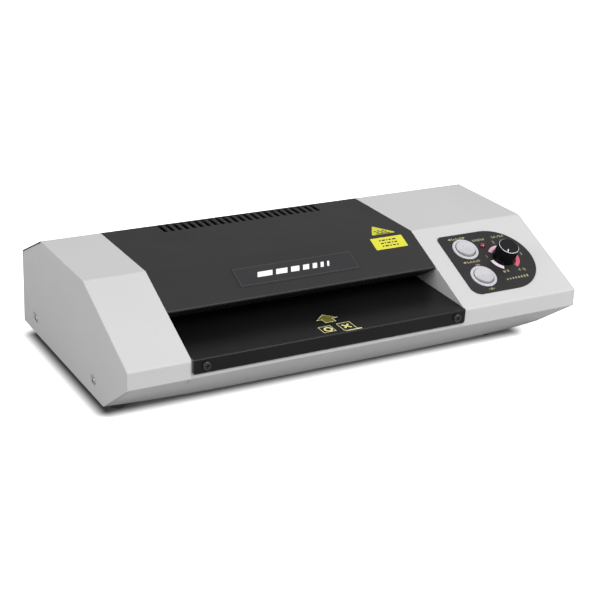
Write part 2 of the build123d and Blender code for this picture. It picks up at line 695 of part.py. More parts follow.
# ---------------------------------------------------------------- rollers
SLEEVE_LEFT = FRAME_IN_LEFT + SLEEVE_CLEAR
SLEEVE_RIGHT = FRAME_IN_RIGHT - SLEEVE_CLEAR
SHAFT_LEFT = FRAME_IN_LEFT - 6.0
SHAFT_RIGHT = GEAR_X + GEAR_W + 1.5
SHAFT_CHAMFER = 0.5
SLEEVE_INSET = 0.5
ROLLERS = {
    "front_lower": (FRONT_ROLLER_Y, LOWER_AXIS_Z),
    "front_upper": (FRONT_ROLLER_Y, UPPER_AXIS_Z),
    "rear_lower": (REAR_ROLLER_Y, LOWER_AXIS_Z),
    "rear_upper": (REAR_ROLLER_Y, UPPER_AXIS_Z),
}
for name, axis in ROLLERS.items():
    with BuildPart() as shaft:
        with BuildSketch(at_x(SHAFT_LEFT)):
            with Locations(axis):
                Circle(JOURNAL_R)
        extrude(amount=SHAFT_RIGHT - SHAFT_LEFT)
        chamfer(shaft.edges().group_by(Axis.X)[0], SHAFT_CHAMFER)
        chamfer(shaft.edges().group_by(Axis.X)[-1], SHAFT_CHAMFER)
        with BuildSketch(at_x(SLEEVE_LEFT)):
            with Locations(axis):
                Circle(CORE_R)
        extrude(amount=SLEEVE_RIGHT - SLEEVE_LEFT)
    save(shaft.part, f"{name}_shaft")

    with BuildPart() as sleeve:
        with BuildSketch(at_x(SLEEVE_LEFT + SLEEVE_INSET)):
            with Locations(axis):
                Circle(ROLLER_R)
                Circle(CORE_R + SEATED, mode=Mode.SUBTRACT)
        extrude(amount=SLEEVE_RIGHT - SLEEVE_LEFT - 2 * SLEEVE_INSET)
    save(sleeve.part, f"{name}_sleeve")


# ---------------------------------------------------------------- gears
PRESSURE_ANGLE = radians(20)
ADDENDUM = 0.95
DEDENDUM = 1.25
BACKLASH = 0.05
FLANK_STEPS = 4
WEB_DEPTH = 2.0
GEAR_RIM = 2.2
GEAR_HUB = 2.5


def gear(teeth, centre, phase, bore_r):
    """An involute spur gear, one tooth pointing at the phase angle."""
    pitch_r = MODULE * teeth / 2
    base_r = pitch_r * cos(PRESSURE_ANGLE)
    root_r = pitch_r - DEDENDUM * MODULE
    tip_r = pitch_r + ADDENDUM * MODULE
    flank_r = max(base_r, root_r)
    pitch_half = pi / (2 * teeth) - BACKLASH / pitch_r

    def involute(radius):
        spread = (radius / base_r) ** 2 - 1
        roll = spread**0.5 if spread > 0 else 0.0
        return roll - atan2(roll, 1.0)

    flank = [flank_r + (tip_r - flank_r) * step / FLANK_STEPS for step in range(FLANK_STEPS + 1)]
    half_angles = [pitch_half + involute(pitch_r) - involute(radius) for radius in flank]
    root = (root_r - 0.3, half_angles[0] + 0.02)
    right = [root] + list(zip(flank, half_angles))
    left = [(radius, -angle) for radius, angle in reversed(right)]
    outline = [(radius * cos(angle), radius * sin(angle)) for radius, angle in left + right]
    with BuildPart() as wheel:
        with BuildSketch(at_x(GEAR_X)):
            with Locations(centre):
                Circle(root_r)
                with PolarLocations(0, teeth, start_angle=phase):
                    Polygon(*outline, align=None)
                Circle(bore_r, mode=Mode.SUBTRACT)
        extrude(amount=GEAR_W)
        # web: the rim and hub stay full width
        if teeth > PINION_TEETH:
            for face_x, inward in ((GEAR_X, 1), (GEAR_X + GEAR_W, -1)):
                with BuildSketch(at_x(face_x)):
                    with Locations(centre):
                        Circle(root_r - GEAR_RIM)
                        Circle(bore_r + GEAR_HUB, mode=Mode.SUBTRACT)
                extrude(amount=inward * WEB_DEPTH, mode=Mode.SUBTRACT)
    return wheel.part


def meshed_phase(teeth_a, phase_a, at_a, teeth_b, at_b):
    """The phase of gear b that puts its gap on gear a's tooth."""
    bearing = degrees(atan2(at_b[1] - at_a[1], at_b[0] - at_a[0]))
    pitch_a = 360 / teeth_a
    offset_a = (phase_a - bearing + pitch_a / 2) % pitch_a - pitch_a / 2
    return bearing + 180 - offset_a * teeth_a / teeth_b + 180 / teeth_b


idler_at = (IDLER_Y, LOWER_AXIS_Z)
pinion_at = (PINION_Y, PINION_Z)
front_phase = 90.0
front_up_phase = meshed_phase(
    ROLLER_TEETH, front_phase, ROLLERS["front_lower"], ROLLER_TEETH, ROLLERS["front_upper"]
)
idler_phase = meshed_phase(ROLLER_TEETH, front_phase, ROLLERS["front_lower"], IDLER_TEETH, idler_at)
rear_phase = meshed_phase(IDLER_TEETH, idler_phase, idler_at, ROLLER_TEETH, ROLLERS["rear_lower"])
rear_up_phase = meshed_phase(
    ROLLER_TEETH, rear_phase, ROLLERS["rear_lower"], ROLLER_TEETH, ROLLERS["rear_upper"]
)
pinion_phase = meshed_phase(IDLER_TEETH, idler_phase, idler_at, PINION_TEETH, pinion_at)

ROLLER_PHASES = {
    "front_lower": front_phase,
    "front_upper": front_up_phase,
    "rear_lower": rear_phase,
    "rear_upper": rear_up_phase,
}
for name, axis in ROLLERS.items():
    save(gear(ROLLER_TEETH, axis, ROLLER_PHASES[name], JOURNAL_R + SEATED), f"{name}_gear")
save(gear(IDLER_TEETH, idler_at, idler_phase, STUD_R + RUNNING), "idler_gear")
save(gear(PINION_TEETH, pinion_at, pinion_phase, OUTPUT_R + SEATED), "motor_pinion")

with BuildPart() as idler_stud:
    with BuildSketch(at_x(FRAME_IN_RIGHT)):
        with Locations(idler_at):
            Circle(STUD_R - SEATED)
    extrude(amount=FRAME_T)
    with BuildSketch(at_x(FRAME_IN_RIGHT + FRAME_T)):
        with Locations(idler_at):
            Circle(STUD_R)
    extrude(amount=GEAR_X + GEAR_W + 2 * GAP - FRAME_IN_RIGHT - FRAME_T)
    with BuildSketch(at_x(FRAME_IN_RIGHT + FRAME_T)):
        with Locations(idler_at):
            Circle(STUD_R + STUD_COLLAR)
    extrude(amount=GEAR_X - FRAME_IN_RIGHT - FRAME_T - GAP)
    with BuildSketch(at_x(GEAR_X + GEAR_W + GAP)):
        with Locations(idler_at):
            Circle(STUD_R + STUD_COLLAR)
    extrude(amount=SHEET)
save(idler_stud.part, "idler_stud")

# ---------------------------------------------------------------- motor
MOTOR_AT = (PINION_Y, PINION_Z + 10.0)
GEARBOX_R = 22.0
GEARBOX_L = 13.0
MOTOR_R = 19.0
MOTOR_L = 21.0
POST_R = 3.5
BRACKET_OUTLINE = [(-14.0, 9.0), (56.0, 9.0), (56.0, 24.0), (28.0, 79.0), (4.0, 79.0), (-14.0, 24.0)]
BRACKET_CORNER = 1.2
SHAFT_CLEAR = 1.5
SHAFT_SEAT = 8.0
CASE_ROUND = 1.5
CAN_ROUND = 2.0

with BuildPart() as gear_posts:
    with BuildSketch(at_x(FRAME_IN_RIGHT + FRAME_T)):
        with Locations(*POSTS):
            Circle(POST_R)
    extrude(amount=BRACKET_X - FRAME_IN_RIGHT - FRAME_T)
save(gear_posts.part, "gear_posts")

with BuildPart() as motor_bracket:
    with BuildSketch(at_x(BRACKET_X)):
        Polygon(*BRACKET_OUTLINE, align=None)
        with Locations(pinion_at):
            Circle(OUTPUT_R + SHAFT_CLEAR, mode=Mode.SUBTRACT)
        with Locations(WIRE_HOLE):
            Circle(WIRE_HOLE_R, mode=Mode.SUBTRACT)
    extrude(amount=FRAME_T)
    fillet(motor_bracket.edges().filter_by(Axis.X).filter_by(GeomType.LINE), BRACKET_CORNER)
save(motor_bracket.part, "motor_bracket")

with BuildPart() as gearbox:
    with BuildSketch(at_x(BRACKET_X + FRAME_T)):
        with Locations(MOTOR_AT):
            Circle(GEARBOX_R)
    extrude(amount=GEARBOX_L)
    fillet(gearbox.edges().group_by(Axis.X)[-1], CASE_ROUND)
    with BuildSketch(at_x(BRACKET_X + FRAME_T)):
        with Locations(pinion_at):
            Circle(OUTPUT_R + RUNNING)
    extrude(amount=SHAFT_SEAT, mode=Mode.SUBTRACT)
save(gearbox.part, "gearbox")

with BuildPart() as motor:
    with BuildSketch(at_x(BRACKET_X + FRAME_T + GEARBOX_L)):
        with Locations(MOTOR_AT):
            Circle(MOTOR_R)
    extrude(amount=MOTOR_L)
    fillet(motor.edges().group_by(Axis.X)[-1], CAN_ROUND)
save(motor.part, "motor")

with BuildPart() as output_shaft:
    with BuildSketch(at_x(GEAR_X - SHAFT_CHAMFER)):
        with Locations(pinion_at):
            Circle(OUTPUT_R)
    extrude(amount=BRACKET_X + FRAME_T + SHAFT_SEAT - GEAR_X)
save(output_shaft.part, "output_shaft")

# ---------------------------------------------------------------- heating plates and guides
PLATE_TO_AXIS = 16.0
PLATE_FRONT_Y = FRONT_ROLLER_Y + PLATE_TO_AXIS
PLATE_REAR_Y = REAR_ROLLER_Y - PLATE_TO_AXIS
PLATE_T = 3.0
PLATE_LEAD = 4.0
PLATE_MOUTH = 1.4
PLATE_RELIEF = 0.8
PATH_HALF = 2.2
HEATER_W = 20.0
HEATER_T = 2.0
HEATER_INSET = 5.0

for name, up in (("lower", -1), ("upper", 1)):
    with BuildPart() as plate:
        with BuildSketch(at_x(FRAME_IN_LEFT)):
            with BuildLine():
                Polyline(
                    (PLATE_FRONT_Y, NIP_Z + up * (PATH_HALF + PLATE_MOUTH)),
                    (PLATE_FRONT_Y + PLATE_LEAD, NIP_Z + up * PATH_HALF),
                    (PLATE_REAR_Y - PLATE_LEAD, NIP_Z + up * PATH_HALF),
                    (PLATE_REAR_Y, NIP_Z + up * (PATH_HALF + PLATE_RELIEF)),
                    (PLATE_REAR_Y, NIP_Z + up * (PATH_HALF + PLATE_T)),
                    (PLATE_FRONT_Y, NIP_Z + up * (PATH_HALF + PLATE_T)),
                    close=True,
                )
            make_face()
        extrude(amount=FRAME_IN_RIGHT - FRAME_IN_LEFT)
    save(plate.part, f"{name}_heating_plate")

HEATER_OFF = PATH_HALF + PLATE_T + HEATER_T / 2
with BuildPart() as heater_strips:
    with BuildSketch(at_x(OPEN_LEFT + HEATER_INSET)):
        with Locations((IDLER_Y, NIP_Z - HEATER_OFF), (IDLER_Y, NIP_Z + HEATER_OFF)):
            Rectangle(HEATER_W, HEATER_T)
    extrude(amount=OPEN_W - 2 * HEATER_INSET)
save(heater_strips.part, "heater_strips")

THERMO_Z = NIP_Z + PATH_HALF + PLATE_T + HEATER_T
THERMO_X = -10.0
THERMO_BASE = (8.0, 5.0)
THERMO_CAP = (6.0, 8.0)
THERMO_TAG = (1.0, 5.0, 12.0)
THERMO_TAG_PITCH = 6.0
FUSE_X = -62.0
FUSE_R = 2.2
FUSE_L = 12.0
with BuildPart() as thermal_cutouts:
    with Locations((THERMO_X, IDLER_Y, THERMO_Z)):
        Cylinder(*THERMO_BASE, align=ON_FLOOR)
        Cylinder(*THERMO_CAP, align=ON_FLOOR)
        with GridLocations(THERMO_TAG_PITCH, 0, 2, 1):
            Box(*THERMO_TAG, align=ON_FLOOR)
    # the one-shot fuse lies beside the thermostat
    with BuildSketch(at_x(FUSE_X)):
        with Locations((IDLER_Y, THERMO_Z + FUSE_R)):
            Circle(FUSE_R)
    extrude(amount=FUSE_L)
save(thermal_cutouts.part, "thermal_cutouts")

GUIDE_FRONT = (61.0, 52.2)
GUIDE_CREST = (64.0, 53.2)
GUIDE_REAR = (REAR_Y - SHEET - 2 * GAP, EXIT_LOW_Z + 1.1)
GUIDE_T = 1.3
with BuildPart() as exit_guide:
    with BuildSketch(at_x(OPEN_LEFT + SLEEVE_INSET)):
        top_side = [GUIDE_FRONT, GUIDE_CREST, GUIDE_REAR]
        Polygon(*top_side, *[(y, z - GUIDE_T) for y, z in reversed(top_side)], align=None)
    extrude(amount=OPEN_W - 2 * SLEEVE_INSET)
save(exit_guide.part, "exit_guide")

# ---------------------------------------------------------------- control plaque and switches
with BuildPart() as control_plaque:
    with BuildSketch(SLOPE) as plaque_face:
        with Locations(PLAQUE_CENTRE):
            Circle(PLAQUE_R)
        with Locations((PLAQUE_LEFT, PLAQUE_CENTRE[1])):
            Rectangle(PLAQUE_CENTRE[0] - PLAQUE_LEFT, 2 * PLAQUE_R, align=(Align.MIN, Align.CENTER))
        left_corners = plaque_face.vertices().group_by(Axis.X)[0].sort_by(Axis.Y)
        fillet(left_corners[-1], PLAQUE_TOP_CORNER)
        fillet(plaque_face.vertices().group_by(Axis.X)[0].sort_by(Axis.Y)[0], PLAQUE_LOW_CORNER)
        with Locations(*SWITCHES.values()):
            Circle(SWITCH_BODY_R + GAP, mode=Mode.SUBTRACT)
        with Locations(*LAMPS.values()):
            Circle(LAMP_R + GAP, mode=Mode.SUBTRACT)
        with Locations(KNOB_AT):
            Circle(SHAFT_HOLE_R, mode=Mode.SUBTRACT)
    extrude(amount=PLAQUE_T)
save(control_plaque.part, "control_plaque")

SWITCH_DEPTH = 20.0
TERMINAL = (4.8, 0.8)
TERMINAL_PITCH = 8.0
TERMINAL_L = 7.0
BEZEL_ROUND = 0.5
CAVITY_R = ROCKER_R + 0.25
CAVITY_FLOOR = -5.8
ROCKER_CROWN = 2.6
ROCKER_HALF_H = 4.0
PIVOT_PIN_R = 1.0
PIVOT_REACH = 9.4

for name, (x, up) in SWITCHES.items():
    with BuildPart() as housing:
        with BuildSketch(on_slope(x, up, PLAQUE_T)):
            Circle(BEZEL_R)
        extrude(amount=BEZEL_TOP - PLAQUE_T)
        rim = housing.edges().filter_by(GeomType.CIRCLE).sort_by(Axis(SLOPE.origin, SLOPE.z_dir))
        fillet(rim[-1], BEZEL_ROUND)
        with BuildSketch(on_slope(x, up, PLAQUE_T)):
            Circle(SWITCH_BODY_R)
        extrude(amount=-SWITCH_DEPTH)
        with BuildSketch(on_slope(x, up, BEZEL_TOP)):
            Circle(CAVITY_R)
        extrude(amount=CAVITY_FLOOR - BEZEL_TOP, mode=Mode.SUBTRACT)
        # pivot holes for the rocker
        pivot = SLOPE.from_local_coords((x, up, ROCKER_PIVOT_H))
        with BuildSketch(Plane(pivot, (0, 1, 0), (1, 0, 0))):
            Circle(PIVOT_PIN_R + RUNNING)
        extrude(amount=PIVOT_REACH + GAP, both=True, mode=Mode.SUBTRACT)
        # two spade terminals
        with BuildSketch(on_slope(x, up, PLAQUE_T - SWITCH_DEPTH)):
            with GridLocations(0, TERMINAL_PITCH, 1, 2):
                Rectangle(*TERMINAL)
        extrude(amount=-TERMINAL_L)
    save(housing.part, f"{name}_housing")

    rest = radians(SLOPE_ANGLE - ROCKER_TILT)
    rest_plane = Plane(pivot, (0, cos(rest), sin(rest)), (1, 0, 0))
    crown_edge = ROCKER_CROWN + BEZEL_R * tan(radians(ROCKER_TILT))
    with BuildPart() as rocker:
        with Locations(rest_plane):
            Sphere(ROCKER_R)
        with BuildSketch(rest_plane):
            Polygon(
                (-BEZEL_R, -ROCKER_HALF_H),
                (BEZEL_R, -ROCKER_HALF_H),
                (BEZEL_R, crown_edge),
                (0, ROCKER_CROWN),
                (-BEZEL_R, crown_edge),
                align=None,
            )
        extrude(amount=BEZEL_R, both=True, mode=Mode.INTERSECT)
        with BuildSketch(rest_plane):
            Circle(PIVOT_PIN_R)
        extrude(amount=PIVOT_REACH, both=True)
    save(rocker.part, f"{name}_rocker")

# ---------------------------------------------------------------- lamps
LAMP_TOP_H = 3.0
LAMP_DOME = 2.0
LAMP_FOOT_H = -6.0
LAMP_RIM = 0.5
LAMP_RIM_H = 1.0
for name, (x, up) in LAMPS.items():
    with BuildPart() as lamp:
        with BuildSketch(on_slope(x, up, LAMP_FOOT_H)):
            Circle(LAMP_R)
        extrude(amount=LAMP_TOP_H - LAMP_FOOT_H)
        fillet(lamp.faces().sort_by(Axis(SLOPE.origin, SLOPE.z_dir))[-1].edges(), LAMP_DOME)
        with BuildSketch(on_slope(x, up, LAMP_FOOT_H)):
            Circle(LAMP_R + LAMP_RIM)
        extrude(amount=LAMP_RIM_H)
    save(lamp.part, name)

LAMP_MID_X = (LAMPS["power_lamp"][0] + LAMPS["ready_lamp"][0]) / 2
LAMP_BOARD = (32.0, 9.0)
BOARD_T = 1.6
with BuildPart() as lamp_board:
    with BuildSketch(on_slope(LAMP_MID_X, LAMPS["power_lamp"][1], LAMP_FOOT_H)):
        Rectangle(*LAMP_BOARD)
    extrude(amount=-BOARD_T)
save(lamp_board.part, "lamp_board")

# ---------------------------------------------------------------- temperature control
POT_R = 8.5
POT_LOW_H = -10.0
POT_BUSH_R = 3.5
POT_BUSH_TOP_H = 4.5
POT_SHAFT_R = 3.0
POT_BORE_FLOOR = 2.0
NUT_T = 2.1
NUT_R = 5.6
KNOB_SOCKET_H = 6.0
KNOB_ROOF = 2.0
SHAFT_PLAY = 0.2

with BuildPart() as potentiometer:
    with BuildSketch(on_slope(*KNOB_AT, POT_LOW_H)):
        Circle(POT_R)
    extrude(amount=-SHEET - GAP - POT_LOW_H)
    with BuildSketch(on_slope(*KNOB_AT, POT_LOW_H)):
        Circle(POT_BUSH_R)
    extrude(amount=POT_BUSH_TOP_H - POT_LOW_H)
    with BuildSketch(on_slope(*KNOB_AT, POT_LOW_H + POT_BORE_FLOOR)):
        Circle(POT_SHAFT_R + RUNNING)
    extrude(amount=CLEAR, mode=Mode.SUBTRACT)
    # its nut, a separate solid round the bush
    with BuildSketch(on_slope(*KNOB_AT, PLAQUE_T + RUNNING)):
        RegularPolygon(NUT_R, 6)
        Circle(POT_BUSH_R + SEATED, mode=Mode.SUBTRACT)
    extrude(amount=NUT_T)
save(potentiometer.part, "potentiometer")

with BuildPart() as control_shaft:
    with BuildSketch(on_slope(*KNOB_AT, POT_LOW_H + POT_BORE_FLOOR + SHAFT_PLAY)):
        Circle(POT_SHAFT_R)
    extrude(amount=KNOB_TOP_H - KNOB_ROOF - POT_LOW_H - POT_BORE_FLOOR - 2 * SHAFT_PLAY)
save(control_shaft.part, "control_shaft")

KNOB_BEVEL = 0.6
POINTER_L = 3.6
POINTER_W = 0.8
POINTER_CLOCK = 230.0
INLAY_DEPTH = 0.4
NUT_ROOM_R = 7.6
KNOB_AXIS = Axis(SLOPE.from_local_coords((*KNOB_AT, 0)), SLOPE.z_dir)
with BuildPart() as knob:
    with BuildSketch(Plane(KNOB_AXIS.position, SLOPE.x_dir, -SLOPE.y_dir)):
        Polygon(
            (0, KNOB_BASE_H),
            (KNOB_R, KNOB_BASE_H),
            (KNOB_TOP_R, KNOB_TOP_H - KNOB_BEVEL),
            (KNOB_TOP_R - KNOB_BEVEL, KNOB_TOP_H),
            (0, KNOB_TOP_H),
            align=None,
        )
    revolve(axis=KNOB_AXIS)
    with BuildSketch(on_slope(*KNOB_AT, KNOB_BASE_H)):
        Circle(NUT_ROOM_R)
    extrude(amount=KNOB_SOCKET_H - KNOB_BASE_H, mode=Mode.SUBTRACT)
    with BuildSketch(on_slope(*KNOB_AT, KNOB_BASE_H)):
        Circle(POT_SHAFT_R + SEATED)
    extrude(amount=KNOB_TOP_H - KNOB_ROOF - KNOB_BASE_H, mode=Mode.SUBTRACT)
    # groove for the pointer's inlay, out to the bevelled edge
    with BuildSketch(on_slope(*KNOB_AT, KNOB_TOP_H)):
        with PolarLocations(0, 1, start_angle=POINTER_CLOCK):
            with Locations((KNOB_TOP_R - KNOB_BEVEL, 0)):
                Rectangle(POINTER_L, POINTER_W, align=(Align.MAX, Align.CENTER))
    extrude(amount=-INLAY_DEPTH, mode=Mode.SUBTRACT)
save(knob.part, "knob")

# ---------------------------------------------------------------- plates and labels
NAMEPLATE_AT = (-30.5, 70.2)
NAMEPLATE_SIZE = (107.0, 20.4)
NAMEPLATE_T = 0.3
NOTICE_AT = (61.5, 82.3)
NOTICE_SIZE = (30.1, 13.0)
NOTICE_CORNER = 0.6
TRIANGLE = [(51.1, -23.7), (74.2, -23.7), (62.6, -4.9)]
PLATE_CORNER = 1.0
LABEL_T = 0.15

with BuildPart() as nameplate:
    with BuildSketch(SLOPE):
        with Locations(NAMEPLATE_AT):
            RectangleRounded(*NAMEPLATE_SIZE, PLATE_CORNER)
    extrude(amount=NAMEPLATE_T)
save(nameplate.part, "nameplate")

with BuildPart() as labels:
    with BuildSketch(SLOPE):
        with Locations(NOTICE_AT):
            RectangleRounded(*NOTICE_SIZE, NOTICE_CORNER)
    extrude(amount=LABEL_T)
    with BuildSketch(Plane.XY.offset(TOP_Z)) as triangle:
        Polygon(*TRIANGLE, align=None)
        fillet(triangle.vertices(), PLATE_CORNER)
    extrude(amount=LABEL_T)
save(labels.part, "labels")

# ---------------------------------------------------------------- electrics in the right end
BOARD_AT = (170.0, 15.0)
BOARD_SIZE = (46.0, 76.0)
BOARD_Z = 14.0
BOARD_HOLE_R = 1.6
BOARD_POST_R = 3.0
BOARD_PIN_R = 1.5
BOARD_PIN_L = 1.0
POST_GRID = (38.0, 68.0)

with BuildPart() as control_board:
    with BuildSketch(Plane.XY.offset(BOARD_Z)):
        with Locations(BOARD_AT):
            Rectangle(*BOARD_SIZE)
            with GridLocations(*POST_GRID, 2, 2):
                Circle(BOARD_HOLE_R, mode=Mode.SUBTRACT)
    extrude(amount=BOARD_T)
save(control_board.part, "control_board")

with BuildPart() as board_posts:
    with BuildSketch(Plane.XY.offset(FLOOR_Z + SHEET)):
        with Locations(BOARD_AT):
            with GridLocations(*POST_GRID, 2, 2):
                Circle(BOARD_POST_R)
    extrude(amount=BOARD_Z - FLOOR_Z - SHEET)
    with BuildSketch(Plane.XY.offset(BOARD_Z)):
        with Locations(BOARD_AT):
            with GridLocations(*POST_GRID, 2, 2):
                Circle(BOARD_PIN_R)
    extrude(amount=BOARD_T + BOARD_PIN_L)
save(board_posts.part, "board_posts")

BOARD_TOP_Z = BOARD_Z + BOARD_T
TRANSFORMER_AT = (170.0, 34.0)
TRANSFORMER_CORE = (28.0, 22.0, 24.0)
TRANSFORMER_WINDING = (32.0, 15.0, 18.0)
WINDING_UP = 3.0
RELAY_AT = (178.0, 2.0)
RELAY = (15.0, 19.0, 15.5)
BLOCK_AT = (158.0, -6.0)
BLOCK = (10.0, 30.0, 11.0)
BLOCK_WAYS = 6
BLOCK_PITCH = 5.0
CLAMP_R = 1.7
CLAMP_DEPTH = 3.0
with BuildPart() as board_components:
    with Locations((*TRANSFORMER_AT, BOARD_TOP_Z)):
        Box(*TRANSFORMER_CORE, align=ON_FLOOR)
    with Locations((*TRANSFORMER_AT, BOARD_TOP_Z + WINDING_UP)):
        Box(*TRANSFORMER_WINDING, align=ON_FLOOR)
    with Locations((*RELAY_AT, BOARD_TOP_Z)):
        Box(*RELAY, align=ON_FLOOR)
    with Locations((*BLOCK_AT, BOARD_TOP_Z)):
        Box(*BLOCK, align=ON_FLOOR)
    # screw wells of the terminal block
    with BuildSketch(Plane.XY.offset(BOARD_TOP_Z + BLOCK[2])):
        with Locations(BLOCK_AT):
            with GridLocations(0, BLOCK_PITCH, 1, BLOCK_WAYS):
                Circle(CLAMP_R)
    extrude(amount=-CLAMP_DEPTH, mode=Mode.SUBTRACT)
save(board_components.part, "board_components")

# ---------------------------------------------------------------- power inlet
INLET_PLATE = (50.0, 24.0)
INLET_CORNER = 4.0
INLET_CAVITY = (24.4, 17.2)
INLET_DEPTH = 16.0
INLET_FLOOR = 2.0
INLET_PINS = [(-7.0, -2.0), (7.0, -2.0), (0.0, 2.0)]
INLET_PIN = (2.0, 4.0)
INLET_PIN_L = 11.0
with BuildPart() as power_inlet:
    with BuildSketch(Plane.XZ.offset(-REAR_Y - RUNNING)):
        with Locations(INLET_AT):
            RectangleRounded(*INLET_PLATE, INLET_CORNER)
    extrude(amount=-INLET_FLANGE)
    with BuildSketch(Plane.XZ.offset(-REAR_Y - RUNNING)):
        with Locations(INLET_AT):
            Rectangle(INLET_BODY[0] - 2 * GAP, INLET_BODY[1] - 2 * GAP)
    extrude(amount=INLET_DEPTH + INLET_FLOOR - INLET_FLANGE)
    with BuildSketch(Plane.XZ.offset(-INLET_REAR_Y)):
        with Locations(INLET_AT):
            Rectangle(*INLET_CAVITY)
    extrude(amount=INLET_DEPTH, mode=Mode.SUBTRACT)
    # screw heads sit flush in counterbores
    with BuildSketch(Plane.XZ.offset(-INLET_REAR_Y)):
        with Locations(INLET_AT):
            with GridLocations(INLET_SCREW_PITCH, 0, 2, 1):
                Circle(SCREW_HEAD_R + GAP)
    extrude(amount=SCREW_HEAD_H, mode=Mode.SUBTRACT)
    with BuildSketch(Plane.XZ.offset(-INLET_REAR_Y)):
        with Locations(INLET_AT):
            with GridLocations(INLET_SCREW_PITCH, 0, 2, 1):
                Circle(M3_CLEAR_R)
    extrude(amount=INLET_FLANGE, mode=Mode.SUBTRACT)
    # contact pins standing on the cavity's floor
    with BuildSketch(Plane.XZ.offset(INLET_DEPTH - INLET_REAR_Y)):
        with Locations(INLET_AT):
            with Locations(*INLET_PINS):
                Rectangle(*INLET_PIN)
    extrude(amount=-INLET_PIN_L)
save(power_inlet.part, "power_inlet")

# ---------------------------------------------------------------- wiring
WIRE_R = 1.1
WIRE_BEND = 2.4
BLOCK_SIDE_X = 153.0
SWITCH_TAG = SLOPE.from_local_coords(
    (*SWITCHES["power_switch"], PLAQUE_T - SWITCH_DEPTH - TERMINAL_L)
)
MOTOR_END_X = BRACKET_X + FRAME_T + GEARBOX_L + MOTOR_L
WIRE_ROUTES = [
    # power inlet to the terminal block
    [(157, 93.3, 31), (157, 72, 31), (148, 56, 26), (148, -1, 22), (BLOCK_SIDE_X, -1, 22)],
    # motor to the terminal block
    [(MOTOR_END_X, 20, 31), (147.5, 20, 31), (147.5, -9, 22), (BLOCK_SIDE_X, -9, 22)],
    # heaters to the terminal block
    [
        (OPEN_RIGHT - 5, IDLER_Y, 61.85),
        (OPEN_RIGHT - 1, IDLER_Y, 61.85),
        (OPEN_RIGHT + 3, *WIRE_HOLE),
        (148, *WIRE_HOLE),
        (158, 0, 50),
        (158, -3.5, 23.8),
    ],
    # terminal block to the power switch
    [
        (158, -21, 20),
        (158, -34, 20),
        (140, -56, 24),
        (SWITCH_TAG.X, SWITCH_TAG.Y, 30),
        tuple(SWITCH_TAG),
    ],
]
with BuildPart() as wiring:
    for route in WIRE_ROUTES:
        with BuildLine() as path:
            FilletPolyline(*route, radius=WIRE_BEND)
        with BuildSketch(Plane(path.line @ 0, z_dir=path.line % 0)):
            Circle(WIRE_R)
        sweep(path=path.line)
save(wiring.part, "wiring")
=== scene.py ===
import json
import math

import bmesh
import bpy
from mathutils import Matrix, Vector


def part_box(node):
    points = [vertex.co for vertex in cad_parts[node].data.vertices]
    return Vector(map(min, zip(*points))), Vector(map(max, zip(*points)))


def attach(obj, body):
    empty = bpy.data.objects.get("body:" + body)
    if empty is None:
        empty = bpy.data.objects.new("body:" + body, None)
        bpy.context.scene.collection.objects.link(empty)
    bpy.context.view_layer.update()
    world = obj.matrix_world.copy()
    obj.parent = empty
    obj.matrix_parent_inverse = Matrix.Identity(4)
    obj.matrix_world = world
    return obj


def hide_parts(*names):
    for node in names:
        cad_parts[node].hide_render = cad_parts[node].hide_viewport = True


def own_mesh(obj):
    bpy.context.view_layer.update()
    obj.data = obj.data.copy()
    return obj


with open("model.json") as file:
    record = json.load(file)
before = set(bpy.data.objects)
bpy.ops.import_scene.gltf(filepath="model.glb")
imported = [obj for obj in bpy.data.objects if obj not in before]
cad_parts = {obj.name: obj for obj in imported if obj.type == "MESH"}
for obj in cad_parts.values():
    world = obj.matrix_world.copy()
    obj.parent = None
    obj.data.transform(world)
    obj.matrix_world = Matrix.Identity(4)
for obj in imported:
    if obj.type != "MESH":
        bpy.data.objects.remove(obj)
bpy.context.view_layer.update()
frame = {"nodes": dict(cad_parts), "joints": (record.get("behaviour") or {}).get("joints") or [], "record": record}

MM = 0.001
nodes = frame["nodes"]


def grey(value):
    return (value, value, value)


# ------------------------------------------------------------------ places, all taken from the frame
joints = {joint["name"]: joint for joint in frame["joints"]}
X = Vector((1, 0, 0))

# the control panel's slope: the knob turns about its inward normal
NORMAL = -Vector(joints["knob_turn"]["axis"]).normalized()
UP_SLOPE = NORMAL.cross(X).normalized()
KNOB_PLACE = Vector(joints["knob_turn"]["pos_m"])
KNOB_UP = 46.2 * MM
SLOPE_FOOT = KNOB_PLACE - UP_SLOPE * KNOB_UP
SLOPE_FOOT.x = 0.0
KNOB_X = KNOB_PLACE.x
case_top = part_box("left_end_cover")[1].z


def plane_matrix(origin, x_axis, normal):
    """A matrix whose own X, Y and Z are x_axis, the cross direction and the normal."""
    x_axis = x_axis.normalized()
    normal = normal.normalized()
    y_axis = normal.cross(x_axis)
    rows = Matrix((x_axis, y_axis, normal)).transposed().to_4x4()
    rows.translation = origin
    return rows


def on_slope(x, up, height=0.0):
    """The slope's plane moved to a point: x across, up the slope, height above it, in metres."""
    origin = SLOPE_FOOT + X * x + UP_SLOPE * up + NORMAL * height
    return plane_matrix(origin, X, NORMAL)


# ------------------------------------------------------------------ camera
CAMERA_AT = Vector((-0.5493, -0.9369, 0.4848))
CAMERA_AZIMUTH = math.radians(-30.39)
CAMERA_DOWN = math.radians(22.62)
CAMERA_ROLL = math.radians(2.92)
LENS = 85.29
SENSOR = 36.0
CLIP_START = 0.05

